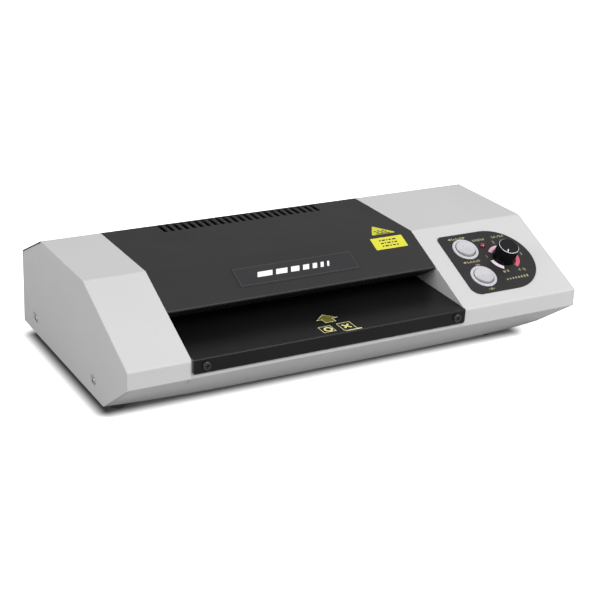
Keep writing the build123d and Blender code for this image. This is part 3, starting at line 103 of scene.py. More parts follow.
look = Vector(
    (
        -math.sin(CAMERA_AZIMUTH) * math.cos(CAMERA_DOWN),
        math.cos(CAMERA_AZIMUTH) * math.cos(CAMERA_DOWN),
        -math.sin(CAMERA_DOWN),
    )
)
right = look.cross(Vector((0, 0, 1))).normalized()
up = right.cross(look)
right_rolled = right * math.cos(CAMERA_ROLL) + up * math.sin(CAMERA_ROLL)
camera_data = bpy.data.cameras.new("camera")
camera_data.lens = LENS
camera_data.sensor_width = SENSOR
camera_data.clip_start = CLIP_START
camera = bpy.data.objects.new("camera", camera_data)
camera.matrix_world = plane_matrix(CAMERA_AT, right_rolled, -look)
bpy.context.scene.collection.objects.link(camera)
bpy.context.scene.camera = camera


# ------------------------------------------------------------------ material nodes
# where most of a noise texture's values lie
NOISE_LOW, NOISE_HIGH = 0.35, 0.65
BEVEL_SAMPLES = 6
# how square a face and its rounded normal are: untouched, and well within an edge
EDGE_NONE, EDGE_FULL = 0.999, 0.93
# grain of the broken patches along edges, which are wear and painted highlight
WEAR_AND_HIGHLIGHT_GRAIN = 400


class Shader:
    """A principled material with short calls for the nodes that feed it."""

    def __init__(self, name, colour, rough, metal=0.0, specular=0.5):
        self.material = bpy.data.materials.new(name)
        self.material.use_nodes = True
        self.tree = self.material.node_tree
        self.bsdf = self.tree.nodes["Principled BSDF"]
        self.bsdf.inputs["Base Color"].default_value = (*colour, 1)
        self.bsdf.inputs["Roughness"].default_value = rough
        self.bsdf.inputs["Metallic"].default_value = metal
        self.bsdf.inputs["Specular IOR Level"].default_value = specular
        self.place = self.tree.nodes.new("ShaderNodeTexCoord").outputs["Object"]
        self.colour = None
        self.height = None
        self.edges = None

    def link(self, source, target):
        self.tree.links.new(source, target)

    def stretched(self, scale):
        """Object coordinates, scaled along each axis."""
        mapping = self.tree.nodes.new("ShaderNodeMapping")
        mapping.inputs["Scale"].default_value = scale
        self.link(self.place, mapping.inputs["Vector"])
        return mapping.outputs["Vector"]

    def noise(self, scale, detail, vector=None):
        texture = self.tree.nodes.new("ShaderNodeTexNoise")
        texture.inputs["Scale"].default_value = scale
        texture.inputs["Detail"].default_value = detail
        self.link(vector or self.place, texture.inputs["Vector"])
        return texture.outputs["Fac"]

    def ranged(self, value, low, high, to_low, to_high):
        node = self.tree.nodes.new("ShaderNodeMapRange")
        node.inputs["From Min"].default_value = low
        node.inputs["From Max"].default_value = high
        node.inputs["To Min"].default_value = to_low
        node.inputs["To Max"].default_value = to_high
        self.link(value, node.inputs["Value"])
        return node.outputs["Result"]

    def vary_rough(self, value, to_low, to_high):
        spread = self.ranged(value, NOISE_LOW, NOISE_HIGH, to_low, to_high)
        self.link(spread, self.bsdf.inputs["Roughness"])

    def tint(self, value, colour, low=NOISE_LOW, high=NOISE_HIGH, amount=1.0):
        """Mixes a second colour in where the value is high."""
        mix = self.tree.nodes.new("ShaderNodeMix")
        mix.data_type = "RGBA"
        factor = self.ranged(value, low, high, 0.0, amount)
        self.link(factor, mix.inputs["Factor"])
        if self.colour is None:
            mix.inputs["A"].default_value = self.bsdf.inputs["Base Color"].default_value
        else:
            self.link(self.colour, mix.inputs["A"])
        mix.inputs["B"].default_value = (*colour, 1)
        self.colour = mix.outputs["Result"]
        self.link(self.colour, self.bsdf.inputs["Base Color"])

    def round_edges(self, radius_mm):
        """Shades sharp edges as rounded ones and keeps a mask of where they are."""
        bevel = self.tree.nodes.new("ShaderNodeBevel")
        bevel.samples = BEVEL_SAMPLES
        bevel.inputs["Radius"].default_value = radius_mm * MM
        self.height = bevel.outputs["Normal"]
        facing = self.tree.nodes.new("ShaderNodeVectorMath")
        facing.operation = "DOT_PRODUCT"
        self.link(self.height, facing.inputs[0])
        geometry = self.tree.nodes.new("ShaderNodeNewGeometry")
        self.link(geometry.outputs["Normal"], facing.inputs[1])
        self.edges = self.ranged(facing.outputs["Value"], EDGE_NONE, EDGE_FULL, 0.0, 1.0)

    def turned_from(self, direction):
        """How far a face is turned away from a direction: 0 facing it, 1 square to it."""
        facing = self.tree.nodes.new("ShaderNodeVectorMath")
        facing.operation = "DOT_PRODUCT"
        coordinates = self.tree.nodes.new("ShaderNodeTexCoord")
        self.link(coordinates.outputs["Normal"], facing.inputs[0])
        facing.inputs[1].default_value = direction
        return self.ranged(facing.outputs["Value"], 1.0, 0.0, 0.0, 1.0)

    def wear_and_highlight(self, colour, amount):
        """Lightens broken patches along the rounded edges: partly thin wear, partly a painted highlight."""
        both = self.tree.nodes.new("ShaderNodeMath")
        both.operation = "MULTIPLY"
        self.link(self.edges, both.inputs[0])
        self.link(self.noise(WEAR_AND_HIGHLIGHT_GRAIN, 3), both.inputs[1])
        self.tint(both.outputs["Value"], colour, 0.2, 0.7, amount)

    def bump(self, value, depth_mm):
        """Adds a height, stacked on any earlier one."""
        node = self.tree.nodes.new("ShaderNodeBump")
        node.inputs["Strength"].default_value = 1.0
        node.inputs["Distance"].default_value = depth_mm * MM
        self.link(value, node.inputs["Height"])
        if self.height is not None:
            self.link(self.height, node.inputs["Normal"])
        self.height = node.outputs["Normal"]
        self.link(self.height, self.bsdf.inputs["Normal"])


# scales of the powder coat's textures, from slow to fine
CLOUD_SCALE = 9
SHEEN_SCALE = 22
PEEL_SCALE = 650
FLECK_SCALE = 1500
GRIT_SCALE = 1900


def powder_coat(name, colour, rough, shade, fleck, edge_wear_and_highlight, specular, edge_mm=0.6):
    """Powder-coated steel: orange peel, fine flecks, a slow change of shade, and edges lightened as wear and as a
    painted highlight.
    """
    coat = Shader(name, colour, rough, specular=specular)
    coat.round_edges(edge_mm)
    coat.tint(coat.noise(CLOUD_SCALE, 3), shade, 0.3, 0.7)
    coat.tint(coat.noise(FLECK_SCALE, 1), fleck, 0.62, 0.75, 0.4)
    coat.wear_and_highlight(edge_wear_and_highlight, 0.8)
    coat.vary_rough(coat.noise(SHEEN_SCALE, 4), rough - 0.02, rough + 0.03)
    coat.bump(coat.noise(PEEL_SCALE, 2), 0.03)
    coat.bump(coat.noise(GRIT_SCALE, 1), 0.01)
    return coat.material


def moulded(name, colour, rough, shade, grain=900, depth=0.02, specular=0.5, painted_shade_on_sides=None):
    """Moulded plastic: a fine eroded grain and slight shade changes, and painted shade on faces turned from the
    panel's normal if wanted.
    """
    plastic = Shader(name, colour, rough, specular=specular)
    plastic.round_edges(0.25)
    plastic.tint(plastic.noise(30, 3), shade, 0.3, 0.7)
    # painted shade: faces turned away from the panel's normal are darkened, standing in for a shadowed gap round
    # the part
    if painted_shade_on_sides is not None:
        plastic.tint(plastic.turned_from(NORMAL), grey(painted_shade_on_sides), 0.55, 0.85)
    plastic.vary_rough(plastic.noise(120, 3), rough - 0.05, rough + 0.07)
    plastic.bump(plastic.noise(grain, 3), depth)
    return plastic.material


def brushed(name, colour, rough, lines, metal=1.0):
    """Drawn or rolled metal with fine lines along one axis."""
    steel = Shader(name, colour, rough, metal=metal)
    streaks = steel.noise(60, 4, steel.stretched(lines))
    steel.vary_rough(streaks, rough - 0.1, rough + 0.12)
    steel.tint(steel.noise(14, 4), [channel * 0.8 for channel in colour], 0.4, 0.75)
    steel.bump(streaks, 0.01)
    return steel.material


def ink(name, colour, rough=0.5, worn=0.12):
    """Printed ink with a slightly uneven cover."""
    print_ = Shader(name, colour, rough, specular=0.25)
    print_.tint(print_.noise(700, 3), [channel * 0.7 for channel in colour], 0.5, 0.8, 1.0 - worn)
    print_.vary_rough(print_.noise(300, 2), rough - 0.08, rough + 0.1)
    print_.bump(print_.noise(1600, 2), 0.006)
    return print_.material


# how noise is drawn out along the rolled or ground direction
LONG_X = (0.02, 1, 1)
AROUND_X = (1, 0.05, 0.05)
EVEN = (1, 1, 1)

# each coat's sixth colour lightens its edges: some wear, and a painted highlight along folds and rims, strongest
# on the tray
case_grey = powder_coat("case_grey", grey(0.297), 0.62, grey(0.284), grey(0.35), grey(0.39), 0.2)
case_black = powder_coat("case_black", grey(0.0085), 0.5, grey(0.011), grey(0.02), grey(0.04), 0.17)
tray_black = powder_coat(
    "tray_black", grey(0.0022), 0.32, grey(0.0036), grey(0.008), grey(0.3), 0.11, edge_mm=1.0
)
SWITCH_TONE, SWITCH_SHADE = (0.27, 0.27, 0.285), (0.25, 0.25, 0.262)
plaque_grey = moulded(
    "plaque_grey", (0.006, 0.0055, 0.006), 0.5, (0.008, 0.007, 0.008), specular=0.2
)
switch_grey = moulded("switch_grey", SWITCH_TONE, 0.3, SWITCH_SHADE, 500, 0.01)
# the rockers' sides are darkened as painted shade for the dark gap round them
rocker_grey = moulded("rocker_grey", SWITCH_TONE, 0.3, SWITCH_SHADE, 500, 0.01, painted_shade_on_sides=0.07)
knob_black = moulded(
    "knob_black", (0.0012, 0.001, 0.0015), 0.3, (0.0025, 0.002, 0.003), 1200, 0.008, 0.12
)
black_plastic = moulded("black_plastic", grey(0.012), 0.5, grey(0.018))
foot_rubber = moulded("foot_rubber", grey(0.012), 0.8, grey(0.022), 400, 0.05)
nameplate_black = moulded(
    "nameplate_black", (0.006, 0.006, 0.007), 0.34, (0.008, 0.008, 0.009), 400, 0.004, 0.22
)
nylon = moulded("nylon", (0.5, 0.48, 0.42), 0.4, (0.44, 0.42, 0.36))
silicone = moulded("silicone", (0.25, 0.035, 0.02), 0.6, (0.2, 0.028, 0.018), 600, 0.03)
mica = moulded("mica", (0.3, 0.24, 0.14), 0.55, (0.22, 0.17, 0.1), 200, 0.03)
solder_mask = moulded("solder_mask", (0.015, 0.11, 0.04), 0.35, (0.01, 0.085, 0.03), 300, 0.01)
wire_cover = moulded("wire_cover", (0.26, 0.02, 0.014), 0.5, (0.2, 0.016, 0.012))
black_screw = brushed("black_screw", grey(0.012), 0.36, EVEN, 0.5)
zinc = brushed("zinc", (0.34, 0.34, 0.35), 0.3, EVEN)
sheet_steel = brushed("sheet_steel", (0.45, 0.45, 0.46), 0.35, LONG_X)
ground_steel = brushed("ground_steel", (0.5, 0.5, 0.51), 0.22, AROUND_X)
aluminium = brushed("aluminium", (0.6, 0.6, 0.61), 0.35, LONG_X)
bronze = brushed("bronze", (0.42, 0.27, 0.12), 0.4, EVEN)
label_yellow = ink("label_yellow", (0.34, 0.33, 0.018), 0.42, 0.6)
arrow_olive = ink("arrow_olive", (0.06, 0.057, 0.004))
tray_yellow = ink("tray_yellow", (0.44, 0.42, 0.16))
tray_pale = ink("tray_pale", (0.42, 0.40, 0.22))
legend_gold = ink("legend_gold", (0.23, 0.215, 0.125))
plate_white = ink("plate_white", grey(0.46))
plate_line = ink("plate_line", (0.024, 0.024, 0.025))
dial_white = ink("dial_white", (0.40, 0.355, 0.38))
dial_pink = ink("dial_pink", (0.50, 0.28, 0.36))
dial_rose = ink("dial_rose", (0.30, 0.10, 0.13))
dial_red = ink("dial_red", (0.33, 0.055, 0.085))
label_black = ink("label_black", (0.008, 0.008, 0.004))


def lens_plastic(name, colour, glow):
    """A tinted clear lamp lens with a cloudy body and a glossy skin."""
    lens = Shader(name, colour, 0.12)
    lens.bsdf.inputs["Coat Weight"].default_value = 0.35
    lens.bsdf.inputs["Coat Roughness"].default_value = 0.06
    lens.bsdf.inputs["Transmission Weight"].default_value = 0.1
    lens.bsdf.inputs["Emission Color"].default_value = (*colour, 1)
    lens.bsdf.inputs["Emission Strength"].default_value = glow
    lens.tint(lens.noise(400, 2), [channel * 0.6 for channel in colour])
    lens.bump(lens.noise(300, 1), 0.01)
    return lens.material


lens_red = lens_plastic("lens_red", (0.09, 0.002, 0.008), 0.15)
lens_green = lens_plastic("lens_green", (0.006, 0.03, 0.012), 0.0)

FINISHES = {
    "case_grey": case_grey,
    "case_black": case_black,
    "tray_black": tray_black,
    "black_screw": black_screw,
    "steel_screw": zinc,
    "foot_rubber": foot_rubber,
    "frame_steel": sheet_steel,
    "shaft_steel": ground_steel,
    "roller_silicone": silicone,
    "bearing_bronze": bronze,
    "block_nylon": nylon,
    "spring_steel": ground_steel,
    "gear_nylon": nylon,
    "heat_plate": aluminium,
    "heater_mica": mica,
    "motor_steel": sheet_steel,
    "black_plastic": black_plastic,
    "plaque": plaque_grey,
    "switch_white": switch_grey,
    "knob_black": knob_black,
    "nameplate_black": nameplate_black,
    "label_yellow": label_yellow,
    "lamp_red": lens_red,
    "lamp_green": lens_green,
    "circuit_board": solder_mask,
    "board_part": black_plastic,
    "wire_red": wire_cover,
    "pot_metal": ground_steel,
}
for part in frame["record"]["subparts"]:
    mesh = nodes[part["node"]].data
    mesh.materials.clear()
    mesh.materials.append(FINISHES[part["material_slot"]])
for rocker in ("mode_switch_rocker", "power_switch_rocker"):
    nodes[rocker].data.materials[0] = rocker_grey


# ------------------------------------------------------------------ flat printed shapes, in millimetres
def rectangle(cx, cy, width, height, turn=0.0, lean=0.0):
    """Corner points of a rectangle, turned by degrees, its top pushed right by the lean."""
    angle = math.radians(turn)
    cosine, sine = math.cos(angle), math.sin(angle)
    points = []
    for sx, sy in ((-1, -1), (1, -1), (1, 1), (-1, 1)):
        x = sx * width / 2 + sy * lean / 2
        y = sy * height / 2
        points.append((cx + x * cosine - y * sine, cy + x * sine + y * cosine))
    return points


def circle(cx, cy, radius, count=40):
    steps = [2 * math.pi * index / count for index in range(count)]
    return [(cx + radius * math.cos(a), cy + radius * math.sin(a)) for a in steps]


def ring(cx, cy, radius, line):
    """A round outline as an outer and an inner loop."""
    return [circle(cx, cy, radius), circle(cx, cy, radius - line)]


def box_outline(cx, cy, width, height, line):
    """A rectangular outline as an outer and an inner loop."""
    inside = rectangle(cx, cy, width - 2 * line, height - 2 * line)
    return [rectangle(cx, cy, width, height), inside]


def arc_band(cx, cy, inner, outer, start, end, count=16):
    """A stretch of a ring between two angles in degrees."""
    angles = [math.radians(start + (end - start) * index / count) for index in range(count + 1)]
    far = [(cx + outer * math.cos(a), cy + outer * math.sin(a)) for a in angles]
    near = [(cx + inner * math.cos(a), cy + inner * math.sin(a)) for a in reversed(angles)]
    return far + near


def stroke(points, width):
    """The outline of a line of one width through the points."""
    left, right_side = [], []
    for index, (x, y) in enumerate(points):
        before = points[max(index - 1, 0)]
        after = points[min(index + 1, len(points) - 1)]
        along = Vector((after[0] - before[0], after[1] - before[1])).normalized()
        left.append((x - along.y * width / 2, y + along.x * width / 2))
        right_side.append((x + along.y * width / 2, y - along.x * width / 2))
    return left + right_side[::-1]


# flat shapes are made 1 mm thick, then squeezed to what they need
HALF_SHEET = 0.5
FONT_STEPS = 4


def shapes(name, loops):
    """A flat mesh from closed outlines, loops inside others being holes."""
    curve = bpy.data.curves.new(name, "CURVE")
    curve.dimensions = "2D"
    curve.fill_mode = "BOTH"
    curve.extrude = HALF_SHEET * MM
    for loop in loops:
        spline = curve.splines.new("POLY")
        spline.points.add(len(loop) - 1)
        for point, (x, y) in zip(spline.points, loop):
            point.co = (x * MM, y * MM, 0, 1)
        spline.use_cyclic_u = True
    return meshed(curve)


def numerals(marks, size):
    """A flat mesh of numbers, each given as its text and its centre."""
    joined = bmesh.new()
    for text, cx, cy in marks:
        curve = bpy.data.curves.new("number", "FONT")
        curve.body = text
        curve.size = size * MM
        curve.align_x = "CENTER"
        curve.align_y = "CENTER"
        curve.extrude = HALF_SHEET * MM
        curve.resolution_u = FONT_STEPS
        number = meshed(curve)
        number.transform(Matrix.Translation((cx * MM, cy * MM, 0)))
        joined.from_mesh(number)
        bpy.data.meshes.remove(number)
    mesh = bpy.data.meshes.new("numbers")
    joined.to_mesh(mesh)
    joined.free()
    return mesh


def meshed(curve):
    """The mesh of a curve, one millimetre thick about its own plane."""
    flat = bpy.data.objects.new(curve.name + "_outline", curve)
    bpy.context.scene.collection.objects.link(flat)
    bpy.context.view_layer.update()
    mesh = bpy.data.meshes.new_from_object(flat)
    bpy.data.objects.remove(flat)
    bpy.data.curves.remove(curve)
    return mesh


def printed(name, mesh, place, thickness, material, body="casing"):
    """Lays a flat mesh on a plane with its underside on it, as one named piece."""
    squeeze = Matrix.Diagonal((1, 1, thickness, 1))
    mesh.transform(place @ Matrix.Translation((0, 0, thickness * MM / 2)) @ squeeze)
    mesh.name = name
    mesh.materials.clear()
    mesh.materials.append(material)
    piece = bpy.data.objects.new(name, mesh)
    bpy.context.scene.collection.objects.link(piece)
    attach(piece, body)
    return piece


def rise(node):
    """How far a node stands above the front slope, in metres."""
    return max((vertex.co - SLOPE_FOOT).dot(NORMAL) for vertex in nodes[node].data.vertices)


def tray_plane(x, y):
    """The plane of the tray's upper side below a point, in metres."""
    tray = nodes["feed_tray"]
    _, hit, normal, _ = tray.ray_cast((x, y, case_top), (0, 0, -1))
    return plane_matrix(hit, X, normal)


# how thick the printed marks are
INK = 0.04

# ------------------------------------------------------------------ control panel's print
KNOB_AT = (KNOB_X / MM, KNOB_UP / MM)
PANEL = on_slope(0, 0, rise("control_plaque"))
ARC_W = 3.3
# each coloured stretch round the knob: start and end angle, inner radius, finish
ARCS = {
    "dial_arc_white": (186, 240, 11.1, dial_white),
    "dial_arc_pink": (87, 141, 10.3, dial_pink),
    "dial_arc_rose": (28, 82, 11.1, dial_rose),
    "dial_arc_red": (-63, -2, 10.8, dial_red),
}
for name, (start, end, inner, finish) in ARCS.items():
    band = arc_band(*KNOB_AT, inner, inner + ARC_W, start, end)
    printed(name, shapes(name, [band]), PANEL, INK, finish)


def bars(cx, cy, lengths, height, gap):
    """A row of short bars centred on a point."""
    x = cx - (sum(lengths) + gap * (len(lengths) - 1)) / 2
    row = []
    for length in lengths:
        row.append(rectangle(x + length / 2, cy, length, height))
        x += length + gap
    return row


def arrow(cx, cy, reach, half, turn):
    """A solid triangle pointing along an angle in degrees."""
    angles = [math.radians(turn + step) for step in (0, 130, 230)]
    return [(cx + reach * math.cos(a), cy + half * math.sin(a)) for a in angles]


def wave(cx, cy, width, height, line):
    """A steam line rising in a double curve."""
    steps = [index / 12 for index in range(13)]
    points = [(cx + width * math.sin(2 * math.pi * t) / 2, cy + height * (t - 0.5)) for t in steps]
    return stroke(points, line)


def ticks(cx, cy, heights, pitch, width):
    """A graduated row of upright ticks on one baseline, centred on a point."""
    start = cx - pitch * (len(heights) - 1) / 2
    middle = max(heights) / 2
    row = []
    for index, tall in enumerate(heights):
        row.append(rectangle(start + pitch * index, cy - middle + tall / 2, width, tall))
    return row


# sizes that the panel's signs share; every centre is given across and up the slope
LINE = 0.5
MARK = 2.2
TICK_W = 0.65
TALL, SHORT = 2.3, 1.3
ARROW_REACH, ARROW_HALF = 1.7, 1.5
DASH, DASH_TALL = 1.2, 0.6


def mode_rows():
    """Graduated rows with forward and back arrows, above and below the mode switch."""
    above, below = 74.0, 46.8
    marks = [arrow(115.9, above, ARROW_REACH, ARROW_HALF, 180)]
    marks += [arrow(129.9, above, ARROW_REACH, ARROW_HALF, 0)]
    marks += ticks(122.8, above, (TALL, SHORT, SHORT, TALL, SHORT, SHORT, TALL), 1.45, TICK_W)
    marks += [arrow(115.7, below + 0.2, ARROW_REACH, ARROW_HALF, 180)]
    marks += ticks(124.2, below, (TALL, SHORT, TALL, SHORT, TALL, SHORT, TALL, TALL), 1.6, TICK_W)
    return marks


def power_signs():
    """An upright line for on and a ring for off, each between two dashes."""
    on_at = (125.9, 42.6)
    off_at = (123.7, 15.5)
    marks = [rectangle(*on_at, 0.8, MARK)]
    marks += bars(*on_at, (DASH, DASH), DASH_TALL, 2.0)
    marks += ring(*off_at, MARK / 2, LINE)
    marks += bars(*off_at, (DASH, DASH), DASH_TALL, 3.4)
    return marks


def lamp_signs():
    """A power sign and a check mark, each between two short rows of ticks."""
    power_at = (142.2, 69.2)
    ready_at = (162.1, 69.6)
    marks = []
    for across, above in (power_at, ready_at):
        for side in (-1, 1):
            marks += ticks(across + side * 4.0, above, (TALL, SHORT, TALL), 1.4, TICK_W)
    marks += [arc_band(power_at[0], 69.0, 0.75, 1.25, 120, 420)]
    marks += [rectangle(power_at[0], 69.8, LINE, 1.3)]
    marks += [stroke([(160.9, 69.6), (161.8, 68.6), (163.5, 70.8)], LINE)]
    return marks


def dial_signs():
    """A snowflake and two steam lines at the dial's ends, over a scale that grows."""
    marks = [rectangle(146.0, 30.9, 3.0, 0.45, turn) for turn in (0, 60, 120)]
    marks += [wave(164.6 + step, 29.8, 0.8, 2.6, LINE) for step in (0, 1.4)]
    marks += ticks(154.0, 22.9, [SHORT + 0.18 * step for step in range(8)], 2.9, 1.2)
    return marks


panel_marks = mode_rows() + power_signs() + lamp_signs() + dial_signs()
printed("panel_signs", shapes("panel_signs", panel_marks), PANEL, INK, legend_gold)

NUMBER_SIZE = 4.2
dial_numbers = [
    ("0", 149.6, 30.9),
    ("1", 139.6, 49.6),
    ("2", 154.6, 64.0),
    ("3", 173.0, 46.7),
    ("4", 160.8, 30.0),
]
number_mesh = numerals(dial_numbers, NUMBER_SIZE)
printed("dial_numbers", number_mesh, PANEL, INK, legend_gold)

# ------------------------------------------------------------------ knob: bevel ring and pointer
KNOB_TOP_H = rise("knob")
KNOB_TOP_R = 8.7
KNOB_BEVEL = 0.6
POINTER_CLOCK = math.radians(230)
RING_SIDES = 64


def lathe(name, profile, place, material, body):
    """A closed profile of radius and height turned about a plane's normal."""
    mesh = bpy.data.meshes.new(name)
    shape = bmesh.new()
    loops = []
    for side in range(RING_SIDES):
        angle = 2 * math.pi * side / RING_SIDES
        spots = [Vector((r * math.cos(angle), r * math.sin(angle), h)) * MM for r, h in profile]
        loops.append([shape.verts.new(spot) for spot in spots])
    for side in range(RING_SIDES):
        here, there = loops[side], loops[(side + 1) % RING_SIDES]
        for index in range(len(profile)):
            after = (index + 1) % len(profile)
            face = shape.faces.new((here[index], there[index], there[after], here[after]))
            face.smooth = True
    bmesh.ops.recalc_face_normals(shape, faces=shape.faces)
    shape.transform(place)
    shape.to_mesh(mesh)
    shape.free()
    mesh.materials.append(material)
    piece = bpy.data.objects.new(name, mesh)
    bpy.context.scene.collection.objects.link(piece)
    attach(piece, body)
    return piece


knob_crown = on_slope(KNOB_X, KNOB_UP, KNOB_TOP_H)
inner_edge = KNOB_TOP_R - KNOB_BEVEL
RING_FROM, RING_TO = 0.3, 0.8
RING_PROUD = 0.02
ring_top = inner_edge + KNOB_BEVEL * RING_FROM
ring_low = inner_edge + KNOB_BEVEL * RING_TO
bevel_band = [
    (ring_top - RING_PROUD, -KNOB_BEVEL * RING_FROM - RING_PROUD),
    (ring_top + RING_PROUD, -KNOB_BEVEL * RING_FROM + RING_PROUD),
    (ring_low + RING_PROUD, -KNOB_BEVEL * RING_TO + RING_PROUD),
    (ring_low - RING_PROUD, -KNOB_BEVEL * RING_TO - RING_PROUD),
]
lathe("knob_ring", bevel_band, knob_crown, plate_white, "temperature_knob")
POINTER_IN = 4.6
POINTER_W = 0.78
pointer_mid = (POINTER_IN + inner_edge) / 2
pointer = rectangle(
    pointer_mid * math.cos(POINTER_CLOCK),
    pointer_mid * math.sin(POINTER_CLOCK),
    inner_edge - POINTER_IN,
    POINTER_W,
    math.degrees(POINTER_CLOCK),
)
POINTER_DEPTH = 0.4
pointer_floor = on_slope(KNOB_X, KNOB_UP, KNOB_TOP_H - POINTER_DEPTH * MM)
printed(
    "knob_pointer",
    shapes("knob_pointer", [pointer]),
    pointer_floor,
    POINTER_DEPTH + 0.01,
    plate_white,
    "temperature_knob",
)

# ------------------------------------------------------------------ pressure springs
WIRE_R = 0.4 * MM
COILS = 4
COIL_STEPS = 28
WIRE_SIDES = 10


def coil_tube(shape, x, y, low, high, reach):
    """Adds one coil spring to a mesh: a round wire along a rising turn, closed at both ends."""
    steps = COILS * COIL_STEPS
    rise_by = high - low - 2 * WIRE_R
    circles = []
    for step in range(steps + 1):
        angle = 2 * math.pi * COILS * step / steps
        outward = Vector((math.cos(angle), math.sin(angle), 0))
        spot = Vector((x, y, low + WIRE_R + rise_by * step / steps)) + outward * reach
        circle_here = []
        for side in range(WIRE_SIDES):
            turn = 2 * math.pi * side / WIRE_SIDES
            lifted = Vector((0, 0, WIRE_R * math.sin(turn)))
            circle_here.append(shape.verts.new(spot + outward * WIRE_R * math.cos(turn) + lifted))
        circles.append(circle_here)
    for here, there in zip(circles, circles[1:]):
        for side in range(WIRE_SIDES):
            after = (side + 1) % WIRE_SIDES
            face = shape.faces.new((here[side], here[after], there[after], there[side]))
            face.smooth = True
    shape.faces.new(circles[0])
    shape.faces.new(circles[-1][::-1])


def pressure_springs(position):
    """The pair of springs over one roller's bearing blocks, as wire coils in place of the node they hide."""
    node = position + "_pressure_springs"
    low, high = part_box(node)
    middle_y = (low.y + high.y) / 2
    reach = (high.y - low.y) / 2 - WIRE_R
    shape = bmesh.new()
    for x in (low.x + reach + WIRE_R, high.x - reach - WIRE_R):
        coil_tube(shape, x, middle_y, low.z, high.z, reach)
    bmesh.ops.recalc_face_normals(shape, faces=shape.faces)
    mesh = bpy.data.meshes.new(position + "_springs")
    shape.to_mesh(mesh)
    shape.free()
    mesh.materials.append(ground_steel)
    piece = bpy.data.objects.new(position + "_springs", mesh)
    bpy.context.scene.collection.objects.link(piece)
    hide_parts(node)
    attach(piece, "casing")
    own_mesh(piece)


for position in ("front", "rear"):
    pressure_springs(position)

# ------------------------------------------------------------------ nameplate and labels
plate_top = on_slope(0, 0, rise("nameplate"))
PLATE_MID = (-30.5, 70.2)
PLATE_W, PLATE_H, PLATE_LINE_W = 104.6, 18.0, 0.45
edge_line = shapes("nameplate_line", box_outline(*PLATE_MID, PLATE_W, PLATE_H, PLATE_LINE_W))
printed("nameplate_line", edge_line, plate_top, INK, plate_line)

STRIPE_WIDTHS = (13.0, 10.0, 7.5, 5.5, 4.0, 2.8, 1.8)
STRIPE_UP, STRIPE_H, STRIPE_GAP, STRIPE_LEAN = 70.3, 5.2, 3.2, 2.4
stripe_x = -65.0
stripes = []
for width in STRIPE_WIDTHS:
    stripe_mid = stripe_x + width / 2
    stripes.append(rectangle(stripe_mid, STRIPE_UP, width, STRIPE_H, lean=STRIPE_LEAN))
    stripe_x += width + STRIPE_GAP
stripe_mesh = shapes("nameplate_stripes", stripes)
printed("nameplate_stripes", stripe_mesh, plate_top, INK, plate_white)

# plain bars on the lower label: how far above its middle, how tall, how long
LABEL_T = 0.15
NOTICE = (61.5, 82.3)
NOTICE_GAP = 1.1
notice_top = on_slope(0, 0, LABEL_T * MM)
notice_rows = [
    (3.2, 1.4, (1.6, 3.0, 1.2, 2.2, 3.4)),
    (0.0, 1.3, (2.6, 1.2, 3.4, 1.4, 2.6)),
    (-3.2, 1.3, (1.4, 3.4, 1.6, 2.8, 1.8)),
]
notice_marks = []
for above, tall, lengths in notice_rows:
    notice_marks += bars(NOTICE[0], NOTICE[1] + above, lengths, tall, NOTICE_GAP)
notice_mesh = shapes("notice_bars", notice_marks)
printed("notice_bars", notice_mesh, notice_top, INK, label_black)

# three steam lines over a plate, on the triangle
HEAT = (62.6, -18.6)
STEAM_STEP, STEAM_TALL, STEAM_LINE = 3.8, 6.0, 1.3
roof = plane_matrix(Vector((0, 0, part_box("labels")[1].z)), X, Vector((0, 0, 1)))
heat_marks = []
for step in (-STEAM_STEP, 0.0, STEAM_STEP):
    tall = STEAM_TALL - abs(step) * 0.4
    heat_marks += [wave(HEAT[0] + step, HEAT[1] + 0.6, 1.8, tall, STEAM_LINE)]
heat_marks += [rectangle(HEAT[0], HEAT[1] - 3.9, 13.5, 1.5)]
printed("heat_waves", shapes("heat_waves", heat_marks), roof, INK, label_black)

# ------------------------------------------------------------------ feed signs on the tray
TRAY_MID = (-24.0, -94.0)
tray_top = tray_plane(TRAY_MID[0] * MM, TRAY_MID[1] * MM)
to_tray = tray_top.inverted()


def on_tray(points):
    """Points given across and along the tray, in its own plane."""
    flat = [to_tray @ Vector((x * MM, y * MM, tray_top.translation.z)) for x, y in points]
    return [(spot.x / MM, spot.y / MM) for spot in flat]


ARROW_X = -24.5
ARROW_TIP, ARROW_SHOULDER, ARROW_END = -76.5, -84.6, -90.3
ARROW_HEAD, ARROW_SHAFT = 9.5, 4.7


def feed_arrow(grow):
    """An arrow towards the rollers, widened all round by a margin."""
    right_half = [
        (0.0, ARROW_TIP + 1.3 * grow),
        (ARROW_HEAD + 1.6 * grow, ARROW_SHOULDER - grow),
        (ARROW_SHAFT + grow, ARROW_SHOULDER - grow),
        (ARROW_SHAFT + grow, ARROW_END - grow),
    ]
    left_half = [(-x, y) for x, y in right_half[:0:-1]]
    return on_tray([(ARROW_X + x, y) for x, y in right_half + left_half])


arrow_mesh = shapes("feed_arrow", [feed_arrow(-0.5)])
printed("feed_arrow", arrow_mesh, tray_top, INK, arrow_olive)
# a ring for the right way round, a cross for the wrong one
yellow = [on_tray(loop) for loop in ring(-33.0, -101.0, 3.6, 1.4)]
yellow += [on_tray(rectangle(-17.0, -101.0, 8.2, 1.6, turn)) for turn in (45, 135)]
printed("feed_signs", shapes("feed_signs", yellow), tray_top, INK, tray_yellow)
# the arrow's outline, the frames round both signs and a line under the cross
pale = [feed_arrow(0.0), feed_arrow(-0.45)]
pale += [on_tray(loop) for loop in box_outline(-33.8, -100.4, 10.8, 10.0, 0.5)]
pale += [on_tray(loop) for loop in box_outline(-16.8, -101.2, 11.8, 13.0, 0.5)]
pale += [on_tray(rectangle(-14.0, -108.0, 13.0, 1.5))]
printed("feed_frames", shapes("feed_frames", pale), tray_top, INK, tray_pale)


